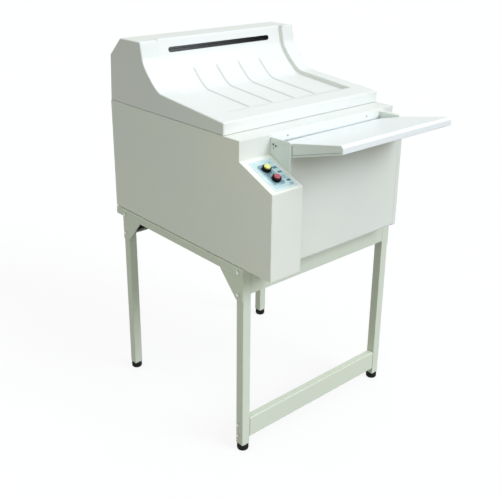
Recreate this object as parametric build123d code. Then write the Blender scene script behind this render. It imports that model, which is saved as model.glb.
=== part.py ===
from build123d import *
import math
import os

# Automatic x-ray film processor on a tube stand, in millimetres.
# Working frame of this script: X from the left side of the body to the right as
# seen from the front, Y from the front of the console to the rear, Z up from the
# floor. Every solid is moved by (-XC, -YC, 0) on export, so the origin of the
# part is the centre of its bounding box on the floor.

# ---------------------------------------------------------------- dimensions
W = 600.0            # body width
D = 727.0            # body depth, console front to rear panel
ZB = 585.0           # underside of the body
ZTOP = 929.0         # top edge of the body, under the lid
SH = 2.0             # sheet thickness
T = 28.0             # square tube of the stand
XL, XR = 0.0, 600.0      # outer faces of the stand legs
YLF, YLR = 103.0, 690.0  # front face of front legs, rear face of rear legs
LEG0 = 21.0          # lower end of the tubes, above the rubber feet
LEG1 = 580.0         # upper end of the tubes
RAIL_B = 558.0       # lower edge of the side rails
TUBE_W = 1.5         # tube wall

XCON = 107.0         # right side of the console, left side of the feed unit
YUP = 123.0          # upper front face of the body
ZC1, ZC2 = 821.0, 875.0  # console: top of its front, top of its slope
XFR = 557.0          # right side of the feed unit
YFP = 48.0           # face of the front panel
ZGUIDE = 921.0       # top of the feed guides
TRAY_X0, TRAY_X1 = 110.0, 540.0
TRAY_Y0, TRAY_Y1 = -120.0, 117.5
TRAY_YF = -114.5     # where the sheet bends down into its front lip
LIP_T, LIP_B = 944.5, 927.7   # ends of the upright part of the lip
TRAY_SLOPE = 0.187   # the tray rises towards its front lip
TRAY_Z41 = 921.0     # its surface height at Y = 41, where it bends down into the mouth
TRAY_ZEND = 901.5    # its surface height at the rear edge, just above the mouth's lower fold

ZLID = 930.0         # underside of the lid
YLID = 185.0         # front face of the lid
ZLF = 963.0          # top of the lid's front face
ZLT = 1123.0         # top of the lid
LW = 3.0             # wall of the moulded lid
RX0, RX1 = 64.0, 552.0   # sunk receiving surface
RAMP0, RAMP1 = 248.0, 284.0  # where it ramps down from the front
RD = 13.0            # its depth
SLOT_X0, SLOT_X1, SLOT_Z, SLOT_H = 104.0, 500.0, 1090.0, 15.0
HY, HZ = 732.0, 930.0    # lid hinge axis

SHAFT_X, SHAFT_Z = 64.0, 862.0   # worm drive shaft
TOP_Z = 888.0        # top rollers of the racks
DRUM_Z = 835.0
TANKS = (("developer", 172.0), ("fixer", 298.0), ("wash", 424.0))
TANK_L = 120.0
FEED_Y, FEED_Z0, FEED_Z1 = 150.0, 886.7, 907.3
EXIT_Y, EXIT_Z0, EXIT_Z1 = 622.0, 1081.0, 1100.8
PLATE_L, PLATE_R = (96.0, 100.0), (500.0, 504.0)
SHAFT_R = 4.0
BUSH_R = 6.0
RUN = 0.05           # radial running clearance

XC = W / 2
YC = (TRAY_Y0 + 757.0) / 2

os.makedirs("parts", exist_ok=True)


# ------------------------------------------------------------------- helpers
def B(x0, x1, y0, y1, z0, z1):
    return Pos((x0 + x1) / 2, (y0 + y1) / 2, (z0 + z1) / 2) * Box(x1 - x0, y1 - y0, z1 - z0)


def CX(x0, x1, y, z, r):
    return Pos((x0 + x1) / 2, y, z) * Rot(0, 90, 0) * Cylinder(r, x1 - x0)


def CY(y0, y1, x, z, r):
    return Pos(x, (y0 + y1) / 2, z) * Rot(90, 0, 0) * Cylinder(r, y1 - y0)


def CZ(z0, z1, x, y, r):
    return Pos(x, y, (z0 + z1) / 2) * Cylinder(r, z1 - z0)


def PX(pts, x0, x1):
    """Polygon of (y, z) points, extruded from x0 to x1."""
    face = make_face(Plane.YZ.offset(x0) * Polyline(*pts, close=True))
    return extrude(face, amount=x1 - x0, dir=(1, 0, 0))


def PXE(edges, x0, x1):
    """Closed chain of edges drawn in (y, z), extruded from x0 to x1."""
    face = make_face([Plane.YZ.offset(x0) * e for e in edges])
    return extrude(face, amount=x1 - x0, dir=(1, 0, 0))


def PZ(pts, z0, z1):
    """Polygon of (x, y) points, extruded from z0 to z1."""
    face = make_face(Plane.XY.offset(z0) * Polyline(*pts, close=True))
    return extrude(face, amount=z1 - z0, dir=(0, 0, 1))


def PY(pts, y0, y1):
    """Polygon of (x, z) points, extruded from y0 to y1."""
    face = make_face(Polyline(*[(x, y0, z) for x, z in pts], close=True))
    return extrude(face, amount=y1 - y0, dir=(0, 1, 0))


def solids_of(shape):
    return list(shape.solids())


def save(name, *shapes):
    out = []
    for s in shapes:
        for item in (s if isinstance(s, (list, tuple)) else [s]):
            out += solids_of(item)
    out = [Pos(-XC, -YC, 0) * s for s in out]
    shape = out[0] if len(out) == 1 else Compound(children=out)
    export_step(shape, f"parts/{name}.step")


def toothed(x0, x1, y, z, r, depth, n):
    """Wheel about an axis along X, with n straight teeth."""
    pts = []
    for i in range(n):
        for f, rr in ((-0.32, r - depth), (-0.2, r), (0.2, r), (0.32, r - depth)):
            a = 2 * math.pi * (i + f) / n
            pts.append((y + rr * math.cos(a), z + rr * math.sin(a)))
    return PX(pts, x0, x1)


def bolt_holes_x(shape, x0, x1, places, r):
    for y, z in places:
        shape -= CX(x0, x1, y, z, r)
    return shape


# --------------------------------------------------------------------- stand
BOLT_R = 3.0
YBF, YBR = YLF + 19.0, YLR - T / 2
FRONT_BOLTS = [(YBF, 570.0), (YBF, 504.0)]
REAR_BOLTS = [(YBR, 566.0), (YBR, 504.0)]
LOW_BOLTS = [(YBF, 86.0), (YBF, 50.0)]


def leg(x0, y0, bolts, low, left):
    s = B(x0, x0 + T, y0, y0 + T, LEG0, LEG1)
    s -= B(x0 + TUBE_W, x0 + T - TUBE_W, y0 + TUBE_W, y0 + T - TUBE_W, LEG0 - 1, LEG1 + 1)
    s = fillet(s.edges().filter_by(Axis.Z).group_by(
        lambda e: round((e.center().X - x0 - T / 2) ** 2 + (e.center().Y - y0 - T / 2) ** 2, 1))[-1], 2.0)
    xs = (x0 - 1, x0 + T / 2) if left else (x0 + T / 2, x0 + T + 1)
    for y, z in bolts + (low if low else []):
        s -= CX(xs[0], xs[1], y, z, BOLT_R)
    return s


save("leg_front_left", leg(XL, YLF, FRONT_BOLTS, LOW_BOLTS, True))
save("leg_front_right", leg(XR - T, YLF, FRONT_BOLTS, LOW_BOLTS, False))
save("leg_rear_left", leg(XL, YLR - T, REAR_BOLTS, [], True))
save("leg_rear_right", leg(XR - T, YLR - T, REAR_BOLTS, [], False))


def side_rail(left):
    # angle section: the body stands on a spacer strip set back on its horizontal flange
    x0 = XL - SH if left else XR
    s = B(x0, x0 + SH, YLF, D - 2, RAIL_B, LEG1 + SH)
    f = (XL, 28.0) if left else (572.0, XR)
    s += B(f[0], f[1], YLF, D - 2, LEG1, LEG1 + SH)
    f = (7.0, 28.0) if left else (572.0, 593.0)
    s += B(f[0], f[1], YLF, D - 2, LEG1 + SH, ZB)
    for y, z in (FRONT_BOLTS[0], REAR_BOLTS[0]):
        s -= CX(x0 - 1, x0 + SH + 1, y, z, BOLT_R)
    return s


save("side_rail_left", side_rail(True))
save("side_rail_right", side_rail(False))


def channel(y_web, sign, x0, x1, z0, z1, depth):
    # web at y_web, flanges towards +Y (sign 1) or -Y (sign -1)
    a, b = (y_web, y_web + SH) if sign > 0 else (y_web - SH, y_web)
    fa, fb = (y_web, y_web + depth) if sign > 0 else (y_web - depth, y_web)
    s = B(x0, x1, a, b, z0, z1)
    s += B(x0, x1, fa, fb, z1 - SH, z1)
    s += B(x0, x1, fa, fb, z0, z0 + SH)
    return s


save("front_top_rail", channel(YLF + 0.5, 1, XL + T, XR - T, 503.0, LEG1, 19.0))
save("rear_top_rail", channel(YLR - 0.5, -1, XL + T, XR - T, 495.0, LEG1, 19.0))

low = channel(YLF + 0.5, 1, XL + T + 2, XR - T - 2, 41.0, 104.0, 21.0)
for xa, xb in ((XL + T, XL + T + 4), (XR - T - 4, XR - T)):
    low += B(xa, xb, YLF + 2.5, YLF + 19, 43.0, 102.0)
save("lower_front_rail", low)

gussets = []
for x0 in (XL - SH, XR):
    for pts, bolt in (
        ([(YLF + 1, 486), (YLF + T, 486), (200, RAIL_B), (YLF + 1, RAIL_B)], FRONT_BOLTS[1]),
        ([(YLR - 1, 480), (YLR - T, 480), (592, RAIL_B), (YLR - 1, RAIL_B)], REAR_BOLTS[1]),
    ):
        g = PX(pts, x0, x0 + SH)
        g -= CX(x0 - 1, x0 + SH + 1, bolt[0], bolt[1], BOLT_R)
        gussets.append(g)
save("gusset_plates", gussets)


def hex_bolt_x(x_face, out, y, z, grip):
    # hexagon head on a washer, shank of length grip into the part
    d = 1 if out > 0 else -1
    pts = [(y + 5.77 * math.cos(math.radians(60 * k + 30)), z + 5.77 * math.sin(math.radians(60 * k + 30))) for k in range(6)]
    xa, xb = sorted((x_face + d * 1.0, x_face + d * 4.2))
    head = PX(pts, xa, xb)
    wa, wb = sorted((x_face, x_face + d * 1.0))
    head += CX(wa, wb, y, z, 6.5)
    sa, sb = sorted((x_face, x_face - d * grip))
    head += CX(sa, sb, y, z, BOLT_R)
    return head


bolts = []
for y, z in FRONT_BOLTS + REAR_BOLTS:
    bolts.append(hex_bolt_x(XL - SH, -1, y, z, 7.0))
    bolts.append(hex_bolt_x(XR + SH, 1, y, z, 7.0))
for y, z in LOW_BOLTS:
    bolts.append(hex_bolt_x(XL, -1, y, z, 5.0))
    bolts.append(hex_bolt_x(XR, 1, y, z, 5.0))
save("frame_bolts", bolts)

feet = []
for x in (XL + T / 2, XR - T / 2):
    for y in (YLF + T / 2, YLR - T / 2):
        f = CZ(0, 19.5, x, y, 17.0)
        f = fillet(f.edges().sort_by(Axis.Z)[0], 6.0)
        f += CZ(19.5, LEG0, x, y, 13.0)
        f += B(x - T / 2 + TUBE_W, x + T / 2 - TUBE_W, y - T / 2 + TUBE_W, y + T / 2 - TUBE_W, LEG0, LEG0 + 18)
        feet.append(f)
save("rubber_feet", feet)

# ---------------------------------------------------------------------- body
pan = B(SH, XCON - SH, SH, YUP + SH, ZB, ZB + SH)
pan += B(XCON + SH, 541.0, YFP + SH, YUP + SH, ZB, ZB + SH)
pan += B(SH, W - SH, YUP, D - SH, ZB, ZB + SH)
# folded trestles under the tanks
for xa, xb in ((150.0, 152.0), (448.0, 450.0)):
    pan += B(xa, xb, 172.0, 544.0, ZB + SH, 700.0)
    pan += B(min(xa, xb - 20.0) if xa > 300 else xa, xb if xa > 300 else xa + 20.0, 172.0, 544.0, 698.0, 700.0)
save("base_pan", pan)

side = [(0, ZB), (D, ZB), (D, ZTOP), (YUP, ZTOP), (YUP, ZC2), (0, ZC1)]
save("left_side_panel", PX(side, 0, SH))
save("right_side_panel", B(W - SH, W, YUP, D, ZB, ZTOP))

EXH_X, EXH_Z = 300.0, 820.0
INLET = (70.0, 625.0)
ROCKER = (104.0, 625.0)
TAILS = [(420.0, 625.0), (470.0, 625.0), (530.0, 625.0)]
rear = B(SH, W - SH, D - SH, D, ZB, ZTOP)
rear -= CY(D - 5, D + 1, EXH_X, EXH_Z, 48.0)
rear -= B(INLET[0] - 14, INLET[0] + 14, D - 5, D + 1, INLET[1] - 10.5, INLET[1] + 10.5)
rear -= B(ROCKER[0] - 10.5, ROCKER[0] + 10.5, D - 5, D + 1, ROCKER[1] - 14.5, ROCKER[1] + 14.5)
for x, z in TAILS:
    rear -= CY(D - 5, D + 1, x, z, 10.0)
for k in range(7):
    for xa in (60.0, 440.0):
        rear -= B(xa, xa + 100, D - 5, D + 1, 690 + 14 * k, 694 + 14 * k)
save("rear_panel", rear)

# folded front fascia: upper front face with the feed mouth, the ledge in front of
# the lid and the down-turned edge behind it
MOUTH_Z0, MOUTH_Z1 = 898.0, 903.0
low_sheet = B(SH, W - SH, YUP, YUP + SH, ZB + SH, MOUTH_Z1 - 0.2)
low_sheet -= B(XCON + SH, 541.0, YUP - 1, YUP + SH + 1, MOUTH_Z0, MOUTH_Z1 + 1)
for xa, xb in ((XCON + SH, 494.0), (510.0, 541.0)):
    low_sheet += B(xa, xb, YUP, 138.0, MOUTH_Z0 - SH, MOUTH_Z0)
ledge = B(SH, W - SH, YUP, YUP + SH, MOUTH_Z1, ZTOP)
ledge += B(SH, W - SH, YUP, 200.0, ZTOP - SH, ZTOP)
ledge += B(SH, W - SH, 200.0 - SH, 200.0, 921.0, ZTOP)
save("front_fascia", [low_sheet, ledge])

# console cover: front, slope and right wall folded from one sheet
slope_len = math.hypot(YUP, ZC2 - ZC1)
sa = math.atan2(ZC2 - ZC1, YUP)
inner_drop = SH / math.cos(sa)
con = PX([(0, ZB), (0, ZC1), (YUP, ZC2), (YUP, ZC2 - inner_drop), (SH, ZC1 + SH * math.tan(sa) - inner_drop), (SH, ZB)], SH, XCON)
con += PX([(0, ZB), (0, ZC1), (YUP, ZC2), (YUP, ZB)], XCON - SH, XCON)
# frame on the slope: local x to the right, local y up the slope, local z outwards
SLOPE = Plane(origin=(0, 0, ZC1), x_dir=(1, 0, 0), z_dir=(0, -math.sin(sa), math.cos(sa)))


def on_slope(x, s, h0, h1, r):
    return SLOPE * Pos(x, s, (h0 + h1) / 2) * Cylinder(r, h1 - h0)


def slope_box(x0, x1, s0, s1, h0, h1):
    return SLOPE * Pos((x0 + x1) / 2, (s0 + s1) / 2, (h0 + h1) / 2) * Box(x1 - x0, s1 - s0, h1 - h0)


BTN_X = 50.0
BTN_S = (84.0, 44.0)     # start above, stop below
for s in BTN_S:
    con -= on_slope(BTN_X, s, -6, 4, 8.0)
save("console_cover", con)

label = slope_box(19.0, 95.0, 8.0, 120.0, 0.0, 1.0)
label = fillet(label.edges().filter_by(Axis((0, 0, 0), (0, -math.sin(sa), math.cos(sa)))), 3.0)
for s in BTN_S:
    label -= on_slope(BTN_X, s, -1, 2, 8.0)
save("label_plate", label)

bezels, blocks = [], []
for s in BTN_S:
    b = on_slope(BTN_X, s, 1.0, 11.0, 12.0)
    b += on_slope(BTN_X, s, -4.0, 1.0, 8.0)
    b -= on_slope(BTN_X, s, -5, 5.5, 6.0)
    b -= on_slope(BTN_X, s, 5.0, 12.0, 10.0)
    bezels.append(b)
    c = slope_box(BTN_X - 11, BTN_X + 11, s - 13, s + 13, -38.0, -10.0)
    c += on_slope(BTN_X, s, -10.0, -4.0, 8.0)
    c -= on_slope(BTN_X, s, -11.0, -3.0, 6.0)
    blocks.append(c)
save("button_bezels", bezels)
save("contact_blocks", blocks)

BTN_TRAVEL = 3.0
for name, s in (("start_button", BTN_S[0]), ("stop_button", BTN_S[1])):
    cap = on_slope(BTN_X, s, 9.0, 14.5, 9.5)
    cap = fillet(cap.edges().filter_by(GeomType.CIRCLE).sort_by(Axis.Z)[-1], 1.6)
    cap += on_slope(BTN_X, s, -7.0, 9.0, 5.5)
    save(name, cap)

# front panel of the feed unit, with a folded top edge
fp = B(113.0, 541.0, YFP, YFP + SH, ZB + SH, 885.0)
fp += B(113.0, 541.0, YFP, 60.0, 883.0, 885.0)
save("front_panel", fp)

# feed guides: side plates of the feed mouth
R_G = 9.0


def guide_box(x0, x1, d):
    # profile of a guide, drawn in by d, with a rounded upper front corner
    g = PX([(YFP + d, ZB - d), (YUP + d, ZB - d), (YUP + d, ZGUIDE - d), (YFP + d, ZGUIDE - d)], x0, x1)
    return fillet(g.edges().filter_by(Axis.X).sort_by_distance(((x0 + x1) / 2, YFP + d, ZGUIDE - d))[0], R_G - d)


gl = guide_box(XCON, XCON + SH, 0.0)
gl += B(XCON, 113.0, YFP, YFP + SH, ZB, ZGUIDE - R_G)
gl += B(XCON, 119.0, YFP, YFP + SH, 885.3, ZGUIDE - R_G)
PIV_Y, PIV_Z = 111.5, 893.5
gl -= CX(XCON - 1, XCON + SH + 1, PIV_Y, PIV_Z, 3.0)
save("feed_guide_left", gl)

gr = guide_box(541.0, XFR, 0.0) - guide_box(543.0, XFR - SH, SH)
gr -= CX(540.0, 544.0, PIV_Y, PIV_Z, 3.0)
save("feed_guide_right", gr)


# small round-head screws
def screw_y(x, y_face, z, r=2.6, h=1.8):
    return CY(y_face - h, y_face, x, z, r)


def screw_x(x_face, d, y, z, r=2.6, h=1.8):
    a, b = sorted((x_face, x_face + d * h))
    return CX(a, b, y, z, r)


screws = [
    screw_y(168.0, YUP, 915.0), screw_y(483.0, YUP, 915.0),
    screw_y(577.0, YUP, 900.0), screw_y(577.0, YUP, 640.0),
    screw_x(XCON, -1, 112.0, 903.8), screw_x(XCON, -1, 103.0, 901.5),
]
for y in (250.0, 490.0, 700.0):
    screws.append(screw_x(W, 1, y, 600.0))
for x in (30.0, 215.0, 385.0, 570.0):
    for z in (600.0, 915.0):
        screws.append(CY(D, D + 1.8, x, z, 2.6))
save("panel_screws", screws)


# ----------------------------------------------------------------- feed tray
def tray_z(y):
    if y > 41.0:
        return TRAY_Z41 - (TRAY_Z41 - TRAY_ZEND) * (y - 41.0) / (TRAY_Y1 - 41.0)
    return TRAY_Z41 + TRAY_SLOPE * (41.0 - y)


TT = 1.6
tray = PX([(TRAY_Y1, tray_z(TRAY_Y1)), (41.0, TRAY_Z41), (TRAY_YF, tray_z(TRAY_YF)), (TRAY_Y0, LIP_T), (TRAY_Y0, LIP_B),
           (TRAY_Y0 + 12, LIP_B), (TRAY_Y0 + 12, LIP_B + TT), (TRAY_Y0 + TT, LIP_B + TT), (TRAY_Y0 + TT, LIP_T - 0.6),
           (TRAY_YF + 0.5, tray_z(TRAY_YF) - 0.1 - TT), (41.0, TRAY_Z41 - TT), (TRAY_Y1, tray_z(TRAY_Y1) - TT)], TRAY_X0, TRAY_X1)
YFL = YFP - 4.0      # rear edge of the side flanges, in front of the guides
for xa in (TRAY_X0, TRAY_X1 - TT):
    tray += PX([(60.0, tray_z(60.0) - 0.5), (41.0, TRAY_Z41 - 0.5), (TRAY_YF + 0.5, tray_z(TRAY_YF) - 0.6), (TRAY_Y0 + 1, LIP_T - 0.4), (TRAY_Y0 + 1, LIP_B),
                (YFL, 883.0), (YFL, 913.6), (60.0, 913.6)], xa, xa + TT)
for xa in (113.0, 534.5):
    ya, yb = PIV_Y - 5.5, PIV_Y + 5.5
    ear = PX([(ya, tray_z(ya) - 1.0), (yb, tray_z(yb) - 1.0), (yb, PIV_Z), (ya, PIV_Z)], xa, xa + 2.5)
    ear += CX(xa, xa + 2.5, PIV_Y, PIV_Z, 5.5)
    ear -= CX(xa - 1, xa + 3.5, PIV_Y, PIV_Z, 3.0 + RUN)
    tray += ear
    tray -= CX(xa - 0.5, xa + 3.0, PIV_Y, PIV_Z, 3.0 + RUN)
save("feed_tray", tray)
tray_pins = [CX(XCON, 117.0, PIV_Y, PIV_Z, 3.0), CX(533.0, 543.0, PIV_Y, PIV_Z, 3.0)]


# ----------------------------------------------------------------- top cover
# side profile of the cover, front to top: a nearly flat ramp, a tight bend and a
# long concave sweep up to the film exit. Offsets keep all arcs concentric.
P_A = (YLID, ZLF)
TH0 = math.atan2(26.3, 267.0)
ARCS = [(60.0, math.radians(38.0)), (330.0, math.radians(50.0)), (70.0, math.radians(78.0))]


def lid_path(off, y_start=None):
    """Line, three tangent arcs, line up to the top; offset downwards and back by off.
    Returns the start point, the edges and the end point."""
    th = TH0
    s = (P_A[0] + off * math.sin(th), P_A[1] - off * math.cos(th))
    if y_start is not None:
        s = (y_start, s[1] + (y_start - s[0]) * math.tan(th))
    y0 = 452.0 + off * math.sin(th)
    z0 = P_A[1] + (452.0 - P_A[0]) * math.tan(th) - off * math.cos(th)
    edges = [Line(s, (y0, z0))]
    p = (y0, z0)
    for r, th1 in ARCS:
        rr = r + off
        c = (p[0] - rr * math.sin(th), p[1] + rr * math.cos(th))
        thm = (th + th1) / 2
        pm = (c[0] + rr * math.sin(thm), c[1] - rr * math.cos(thm))
        pe = (c[0] + rr * math.sin(th1), c[1] - rr * math.cos(th1))
        edges.append(ThreePointArc(p, pm, pe))
        p, th = pe, th1
    return s, edges, p, th


def path_end(p, th, z_top):
    return (p[0] + (z_top - p[1]) / math.tan(th), z_top)


s, e, p, th = lid_path(0.0)
pt = path_end(p, th, ZLT)
REAR_TOP = (659.0, ZLT)
REAR_CH = (718.0, 1069.0)
outer = PXE(e + [Line(p, pt), Line(pt, REAR_TOP), Line(REAR_TOP, REAR_CH), Line(REAR_CH, (D, ZLID)),
                 Line((D, ZLID), (YLID, ZLID)), Line((YLID, ZLID), s)], 0, W)

# sunk receiving surface, ramped up at its front end
sf, ef, pf, thf = lid_path(RD, y_start=RAMP1)
ptf = path_end(pf, thf, ZLT + 12)
ramp_top = (RAMP0, P_A[1] + (RAMP0 - P_A[0]) * math.tan(TH0))
recess = PXE([Line(ramp_top, sf)] + ef + [Line(pf, ptf), Line(ptf, (ptf[0] - 200, ptf[1])),
             Line((ptf[0] - 200, ptf[1]), (ramp_top[0], ptf[1])), Line((ramp_top[0], ptf[1]), ramp_top)], RX0, RX1)


def inner_profile(off, x0, x1, front=YLID + LW, ramp=False):
    s, e, p, th = lid_path(off, y_start=RAMP1 + 3 if ramp else front)
    pt = path_end(p, th, ZLT - LW)
    if ramp:
        a = (front, P_A[1] + (front - P_A[0]) * math.tan(TH0) - LW)
        b = (RAMP0 - 3, P_A[1] + (RAMP0 - 3 - P_A[0]) * math.tan(TH0) - LW)
        first = [Line(a, b), Line(b, s)]
    else:
        a, first = s, []
    r1 = (REAR_TOP[0] - 1.2, ZLT - LW)
    r2 = (REAR_CH[0] - LW, REAR_CH[1] - 1.2)
    r3 = (D - LW, ZLID - 1)
    return PXE(first + e + [Line(p, pt), Line(pt, r1), Line(r1, r2), Line(r2, r3),
               Line(r3, (front, ZLID - 1)), Line((front, ZLID - 1), a)], x0, x1)


lid = outer - recess
cavity = inner_profile(RD + LW, LW, W - LW, ramp=True)
cavity += inner_profile(LW, LW, RX0 - LW)
cavity += inner_profile(LW, RX1 + LW, W - LW)
lid -= cavity

# film exit slot with round ends
y_slot = pf[0] + (SLOT_Z - pf[1]) / math.tan(thf) if SLOT_Z > pf[1] else pf[0]
slot = B(SLOT_X0 + SLOT_H / 2, SLOT_X1 - SLOT_H / 2, y_slot - 14, y_slot + 14, SLOT_Z - SLOT_H / 2, SLOT_Z + SLOT_H / 2)
for x in (SLOT_X0 + SLOT_H / 2, SLOT_X1 - SLOT_H / 2):
    slot += CY(y_slot - 14, y_slot + 14, x, SLOT_Z, SLOT_H / 2)
lid -= slot

# black trim lining the exit slot
def slot_ring(dx, dh, y0, y1):
    h = SLOT_H / 2 + dh
    r = B(SLOT_X0 + SLOT_H / 2, SLOT_X1 - SLOT_H / 2, y0, y1, SLOT_Z - h, SLOT_Z + h)
    for x in (SLOT_X0 + SLOT_H / 2, SLOT_X1 - SLOT_H / 2):
        r += CY(y0, y1, x, SLOT_Z, h)
    return r


trim = slot_ring(0, 0, y_slot - 1.0, y_slot + 4.6) - slot_ring(0, -1.2, y_slot - 3, y_slot + 7)
save("exit_slot_trim", trim)

# raised ribs on the receiving surface
RIB_X = (175.0, 262.0, 349.0, 436.0)
RIB_H, RIB_W = 2.4, 6.0
RIB_TOP = 1031.0     # upper end of the ribs on the sweep
for x in RIB_X:
    s1, e1, p1, th1 = lid_path(RD + 0.5, y_start=RAMP1 + 2)
    s2, e2, p2, th2 = lid_path(RD - RIB_H, y_start=RAMP1 + 2)
    body = PXE(e1 + [Line(p1, p2)] + e2 + [Line(s2, s1)], x - RIB_W / 2, x + RIB_W / 2)
    body -= B(x - 5, x + 5, 500, 640, RIB_TOP, ZLT)
    lid += body
print("lid solids", len(lid.solids()), "volume", round(lid.volume))
save("top_cover", lid)

# distance of the inner face of the receiving surface from the hinge axis
s, e, p, th = lid_path(RD + LW)
near = min(math.hypot(ed.position_at(t).X - HY, ed.position_at(t).Y - HZ) for ed in e for t in (0, .25, .5, .75, 1))
print("inner sweep radius of the lid", round(near, 1), "slot y", round(y_slot, 1))

# hinges: body leaf, lid leaf, pin
PIN_R = 2.5
lid_leaves, body_leaves, pins = [], [], []
for xh in (100.0, 450.0):
    bl = B(xh, xh + 50, D, D + SH, 893.0, 924.0)
    for xa, xb in ((xh, xh + 15), (xh + 35, xh + 50)):
        bl += CX(xa, xb, HY, HZ, 4.5)
        bl += PX([(D, 920), (D + SH, 920), (HY + 3.5, HZ - 2.5), (HY - 2, HZ - 2)], xa, xb)
    bl -= B(xh + 15, xh + 35, D - 1, D + 12, 924, 940)
    bl -= CX(xh - 1, xh + 51, HY, HZ, PIN_R)
    body_leaves.append(bl)
    sl = (D - REAR_CH[0]) / (REAR_CH[1] - ZLID)
    ll = PX([(D - sl * 6, ZLID + 6), (D - sl * 6 + SH, ZLID + 6), (D - sl * 34 + SH, ZLID + 34), (D - sl * 34, ZLID + 34)], xh, xh + 50)
    ll += CX(xh + 15.4, xh + 34.6, HY, HZ, 4.5)
    ll += PX([(D - sl * 6, ZLID + 6), (D - sl * 6 + SH, ZLID + 9), (HY + 3.0, HZ + 3.0), (HY - 3.5, HZ + 1.0)], xh + 15.4, xh + 34.6)
    ll -= CX(xh - 1, xh + 51, HY, HZ, PIN_R + RUN)
    lid_leaves.append(ll)
    pins.append(CX(xh - 1.5, xh + 51.5, HY, HZ, PIN_R))
save("hinge_leaves_body", body_leaves)
save("hinge_leaves_lid", lid_leaves)
save("pivot_pins", pins, tray_pins)

# ------------------------------------------------------------- rear services
inl = B(INLET[0] - 14, INLET[0] + 14, D - 22, D, INLET[1] - 10.5, INLET[1] + 10.5)
inl += B(ROCKER[0] - 10.5, ROCKER[0] + 10.5, D - 20, D, ROCKER[1] - 14.5, ROCKER[1] + 14.5)
inl += B(INLET[0] - 22, ROCKER[0] + 16, D, D + 2.4, INLET[1] - 18, INLET[1] + 18)
inl -= B(INLET[0] - 12, INLET[0] + 12, D - 16, D + 4, INLET[1] - 8, INLET[1] + 8)
for dx, dz in ((-5, -3), (5, -3), (0, 3)):
    inl += B(INLET[0] + dx - 1, INLET[0] + dx + 1, D - 17, D - 2, INLET[1] + dz - 2, INLET[1] + dz + 2)
inl -= B(ROCKER[0] - 8, ROCKER[0] + 8, D - 14, D + 3, ROCKER[1] - 12.5, ROCKER[1] + 12.5)
RK_Y = D - 6.0
inl += CX(ROCKER[0] - 9, ROCKER[0] + 9, RK_Y, ROCKER[1], 1.5)
save("power_inlet", inl)

# rocker of the main switch, turning about a pin along X
rk = PX([(RK_Y - 4, ROCKER[1] - 6), (RK_Y - 4, ROCKER[1] + 6), (D + 1.2, ROCKER[1] + 9.5), (D + 1.8, ROCKER[1]), (D + 4.6, ROCKER[1] - 9.5)],
        ROCKER[0] - 7.6, ROCKER[0] + 7.6)
rk -= CX(ROCKER[0] - 9, ROCKER[0] + 9, RK_Y, ROCKER[1], 1.5 + RUN)
save("power_rocker", rk)

col = CY(D, D + SH, EXH_X, EXH_Z, 62.0) + CY(D, 757.0, EXH_X, EXH_Z, 50.0)
col -= CY(D - 1, 758.0, EXH_X, EXH_Z, 48.0)
save("exhaust_collar", col)

tails = []
for (x, z), r in zip(TAILS, (9.0, 9.0, 9.0)):
    # hose clip seat at the end, two retaining rings behind it
    t = CY(D - 12, D, x, z, 10.0) + CY(D, D + 4, x, z, 14.0) + CY(D + 4, 745.0, x, z, 8.0)
    t += CY(D + 7, D + 9.5, x, z, r) + CY(D + 12, D + 14.5, x, z, r)
    seat = CY(D + 17, 757.0, x, z, r)
    t += chamfer(seat.edges().group_by(Axis.Y)[-1], 0.8)
    t -= CY(D - 13, 758, x, z, 5.5)
    tails.append(t)
save("hose_tails", tails)

# --------------------------------------------------------------------- inside
# three open tanks in a row
for name, y0 in TANKS:
    t = B(78, 522, y0, y0 + TANK_L, 700, 875)
    t -= B(82, 518, y0 + 4, y0 + TANK_L - 4, 704, 876)
    save(f"{name}_tank", t)


def bush(x0, x1, y, z):
    return CX(x0, x1, y, z, BUSH_R) - CX(x0 - 1, x1 + 1, y, z, SHAFT_R + RUN)


plates, bushes = [], []


def plate(rng, pts, holes):
    s = PX(pts, *rng)
    for y, z in holes:
        s -= CX(rng[0] - 1, rng[1] + 1, y, z, BUSH_R)
        bushes.append(bush(rng[0], rng[1], y, z))
    return s


for name, y0 in TANKS:
    yc = y0 + TANK_L / 2
    for rng in (PLATE_L, PLATE_R):
        plates.append(plate(rng, [(yc - 46, 704), (yc + 46, 704), (yc + 46, 850), (yc + 20, 905), (yc - 20, 905), (yc - 46, 850)],
                            [(yc, TOP_Z), (yc, DRUM_Z)]))
for rng in (PLATE_L, PLATE_R):
    plates.append(plate(rng, [(128, 868), (172, 868), (172, 919), (128, 919)], [(FEED_Y, FEED_Z0), (FEED_Y, FEED_Z1)]))
save("roller_side_plates", plates)


def roller(name, y, z, r, gear=None, wheel=None, x_body=(103.0, 497.0), hollow=0.0):
    x0 = 60.0 if wheel else 84.0
    s = CX(x0, 507.0, y, z, SHAFT_R)
    body = CX(x_body[0], x_body[1], y, z, r)
    if hollow:
        for xa, xb in ((x_body[0] - 1, 296.0), (304.0, x_body[1] + 1)):
            body -= CX(xa, xb, y, z, hollow) - CX(xa - 1, xb + 1, y, z, 8.0)
    s += body
    if gear:
        s += toothed(86.0, 92.0, y, z, gear, 0.9, max(12, int(gear * 1.8)))
    if wheel:
        s += toothed(60.0, 68.0, y, z, wheel, 1.2, 18)
    save(name, s)


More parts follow.
